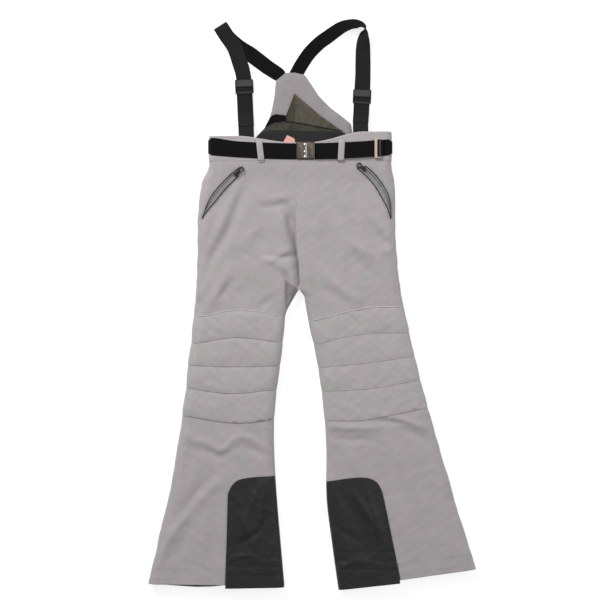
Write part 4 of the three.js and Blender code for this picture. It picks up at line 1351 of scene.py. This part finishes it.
def make_facing():
    """The ribbed elastic across the yoke's foot, with a darker corner and foot sewn over it, and its seam."""
    shape = [(-104, 27), (-92, 40), (-81, 52), (-71, 73), (-64, 80), (-55, 82.5), (-33, 80), (-35, 64),
             (-13, 63), (12, 58.5), (50, 52), (97, 42), (113, 32), (110, 24), (60, 14), (0, 9), (-60, 12),
             (-100, 20)]

    def ribbed(x, y, away):
        return (YOKE_REST + 3.6 + 0.3 * np.sin(x / 1.9 + 0.1 * y) * ramp(away, 1, 6)
                + 0.5 * speckle(x, y, 30, 4) + 0.4 * rounded(away, 3))

    def over(x, y, away):
        return YOKE_REST + 4.9 + 0.5 * speckle(x, y, 30, 4) + 0.3 * rounded(away, 3)

    cut_cloth("back_facing", closed_outline(shape, 170), 3.6, ribbed, (0.1, 1.2), OLIVE, None, "lining",
              ["back_net"], (0.2, 0.063), held="stretched", replaces=["back_elastic"], bend=BRACE_BEND)
    for name, (cloth, shape) in FACING_BLOCKS.items():
        cut_cloth(name, closed_outline(shape, 150), 4, over, (0.0, 0.6), cloth, None, "lining",
                  ["back_facing"], cut_size(shape), bend=BRACE_BEND)
    seam = [(x, y, YOKE_REST + 5.1) for x, y in ((-34, 66), (-13, 64), (12, 59), (50, 52), (99, 43.5))]
    piping = Parts().tube(resample(seam, 90), 1.1, 8)
    piping.make("back_facing_seam", LINING, None, slot="lining", bend=BRACE_BEND)


def make_label():
    """The care label, which stands up over the waistband."""

    def height(x, y, away):
        return YOKE_REST + 6.2 + 0.03 * (y - 10) + 0.5 * speckle(x, y, 12)

    outline = closed_outline([(-40, 10), (-12, 10), (-12.5, 23), (-16, 27.5), (-30.4, 33.8), (-37, 22)], 60)
    cut_cloth("care_label_tag", outline, 3, height, (0.0, 0.3), LABEL, "trousers", "label", ["back_facing"],
              (0.029, 0.025), replaces=["care_label"])


# ---------------------------------------------------------------- the whole garment

legs = {side: Leg(side) for side in ("right", "left")}
for leg in legs.values():
    make_leg(leg)
    make_pocket(leg)
    make_brace(leg.side)
make_crotch_painted_shade(legs["right"])
make_back_hem("right_lower_leg")
make_waistband()
make_belt()
make_clasp()
make_belt_slider()
make_fly()
make_yoke()
make_net()
make_facing()
make_label()


# ---------------------------------------------------------------- floor, light and camera


def plain(name, colour, rough, glow=0.0):
    made = bpy.data.materials.new(name)
    made.use_nodes = True
    shader = made.node_tree.nodes["Principled BSDF"]
    shader.inputs["Base Color"].default_value = (*colour, 1)
    shader.inputs["Roughness"].default_value = rough
    shader.inputs["Specular IOR Level"].default_value = 0.1
    shader.inputs["Emission Color"].default_value = (1, 1, 1, 1)
    shader.inputs["Emission Strength"].default_value = glow
    return made


floor_corners = [(i * 6, j * 6, -0.001) for i, j in ((-1, -1), (1, -1), (1, 1), (-1, 1))]
floor_data = bpy.data.meshes.new("floor")
floor_data.from_pydata(floor_corners, [], [(0, 1, 2, 3)])
floor_data.materials.append(plain("lit_white_table", (0.4, 0.4, 0.4), 0.9, 0.78))
floor = bpy.data.objects.new("floor", floor_data)
bpy.context.scene.collection.objects.link(floor)


def area_light(name, place, aim, size, power):
    data = bpy.data.lights.new(name, "AREA")
    data.shape = "DISK"
    data.size = size
    data.energy = power
    made = bpy.data.objects.new(name, data)
    made.location = place
    made.rotation_euler = (Vector(aim) - Vector(place)).to_track_quat("-Z", "Y").to_euler()
    bpy.context.scene.collection.objects.link(made)


area_light("window", (-1.7, 2.7, 2.3), (0, -0.1, 0), 1.4, 118)
area_light("fill", (2.4, 0.8, 3.0), (0, 0, 0), 2.4, 38)
world = bpy.data.worlds.new("studio")
world.use_nodes = True
world.node_tree.nodes["Background"].inputs["Color"].default_value = (1, 1, 1, 1)
world.node_tree.nodes["Background"].inputs["Strength"].default_value = 0.34
bpy.context.scene.world = world
bpy.context.scene.view_settings.view_transform = "Standard"

camera_data = bpy.data.cameras.new("camera")
camera_data.lens = 130.0
camera_data.sensor_width = 36.0
camera = bpy.data.objects.new("camera", camera_data)
camera.location = (-0.0276, 0.0082, 5.0)
bpy.context.scene.collection.objects.link(camera)
bpy.context.scene.camera = camera
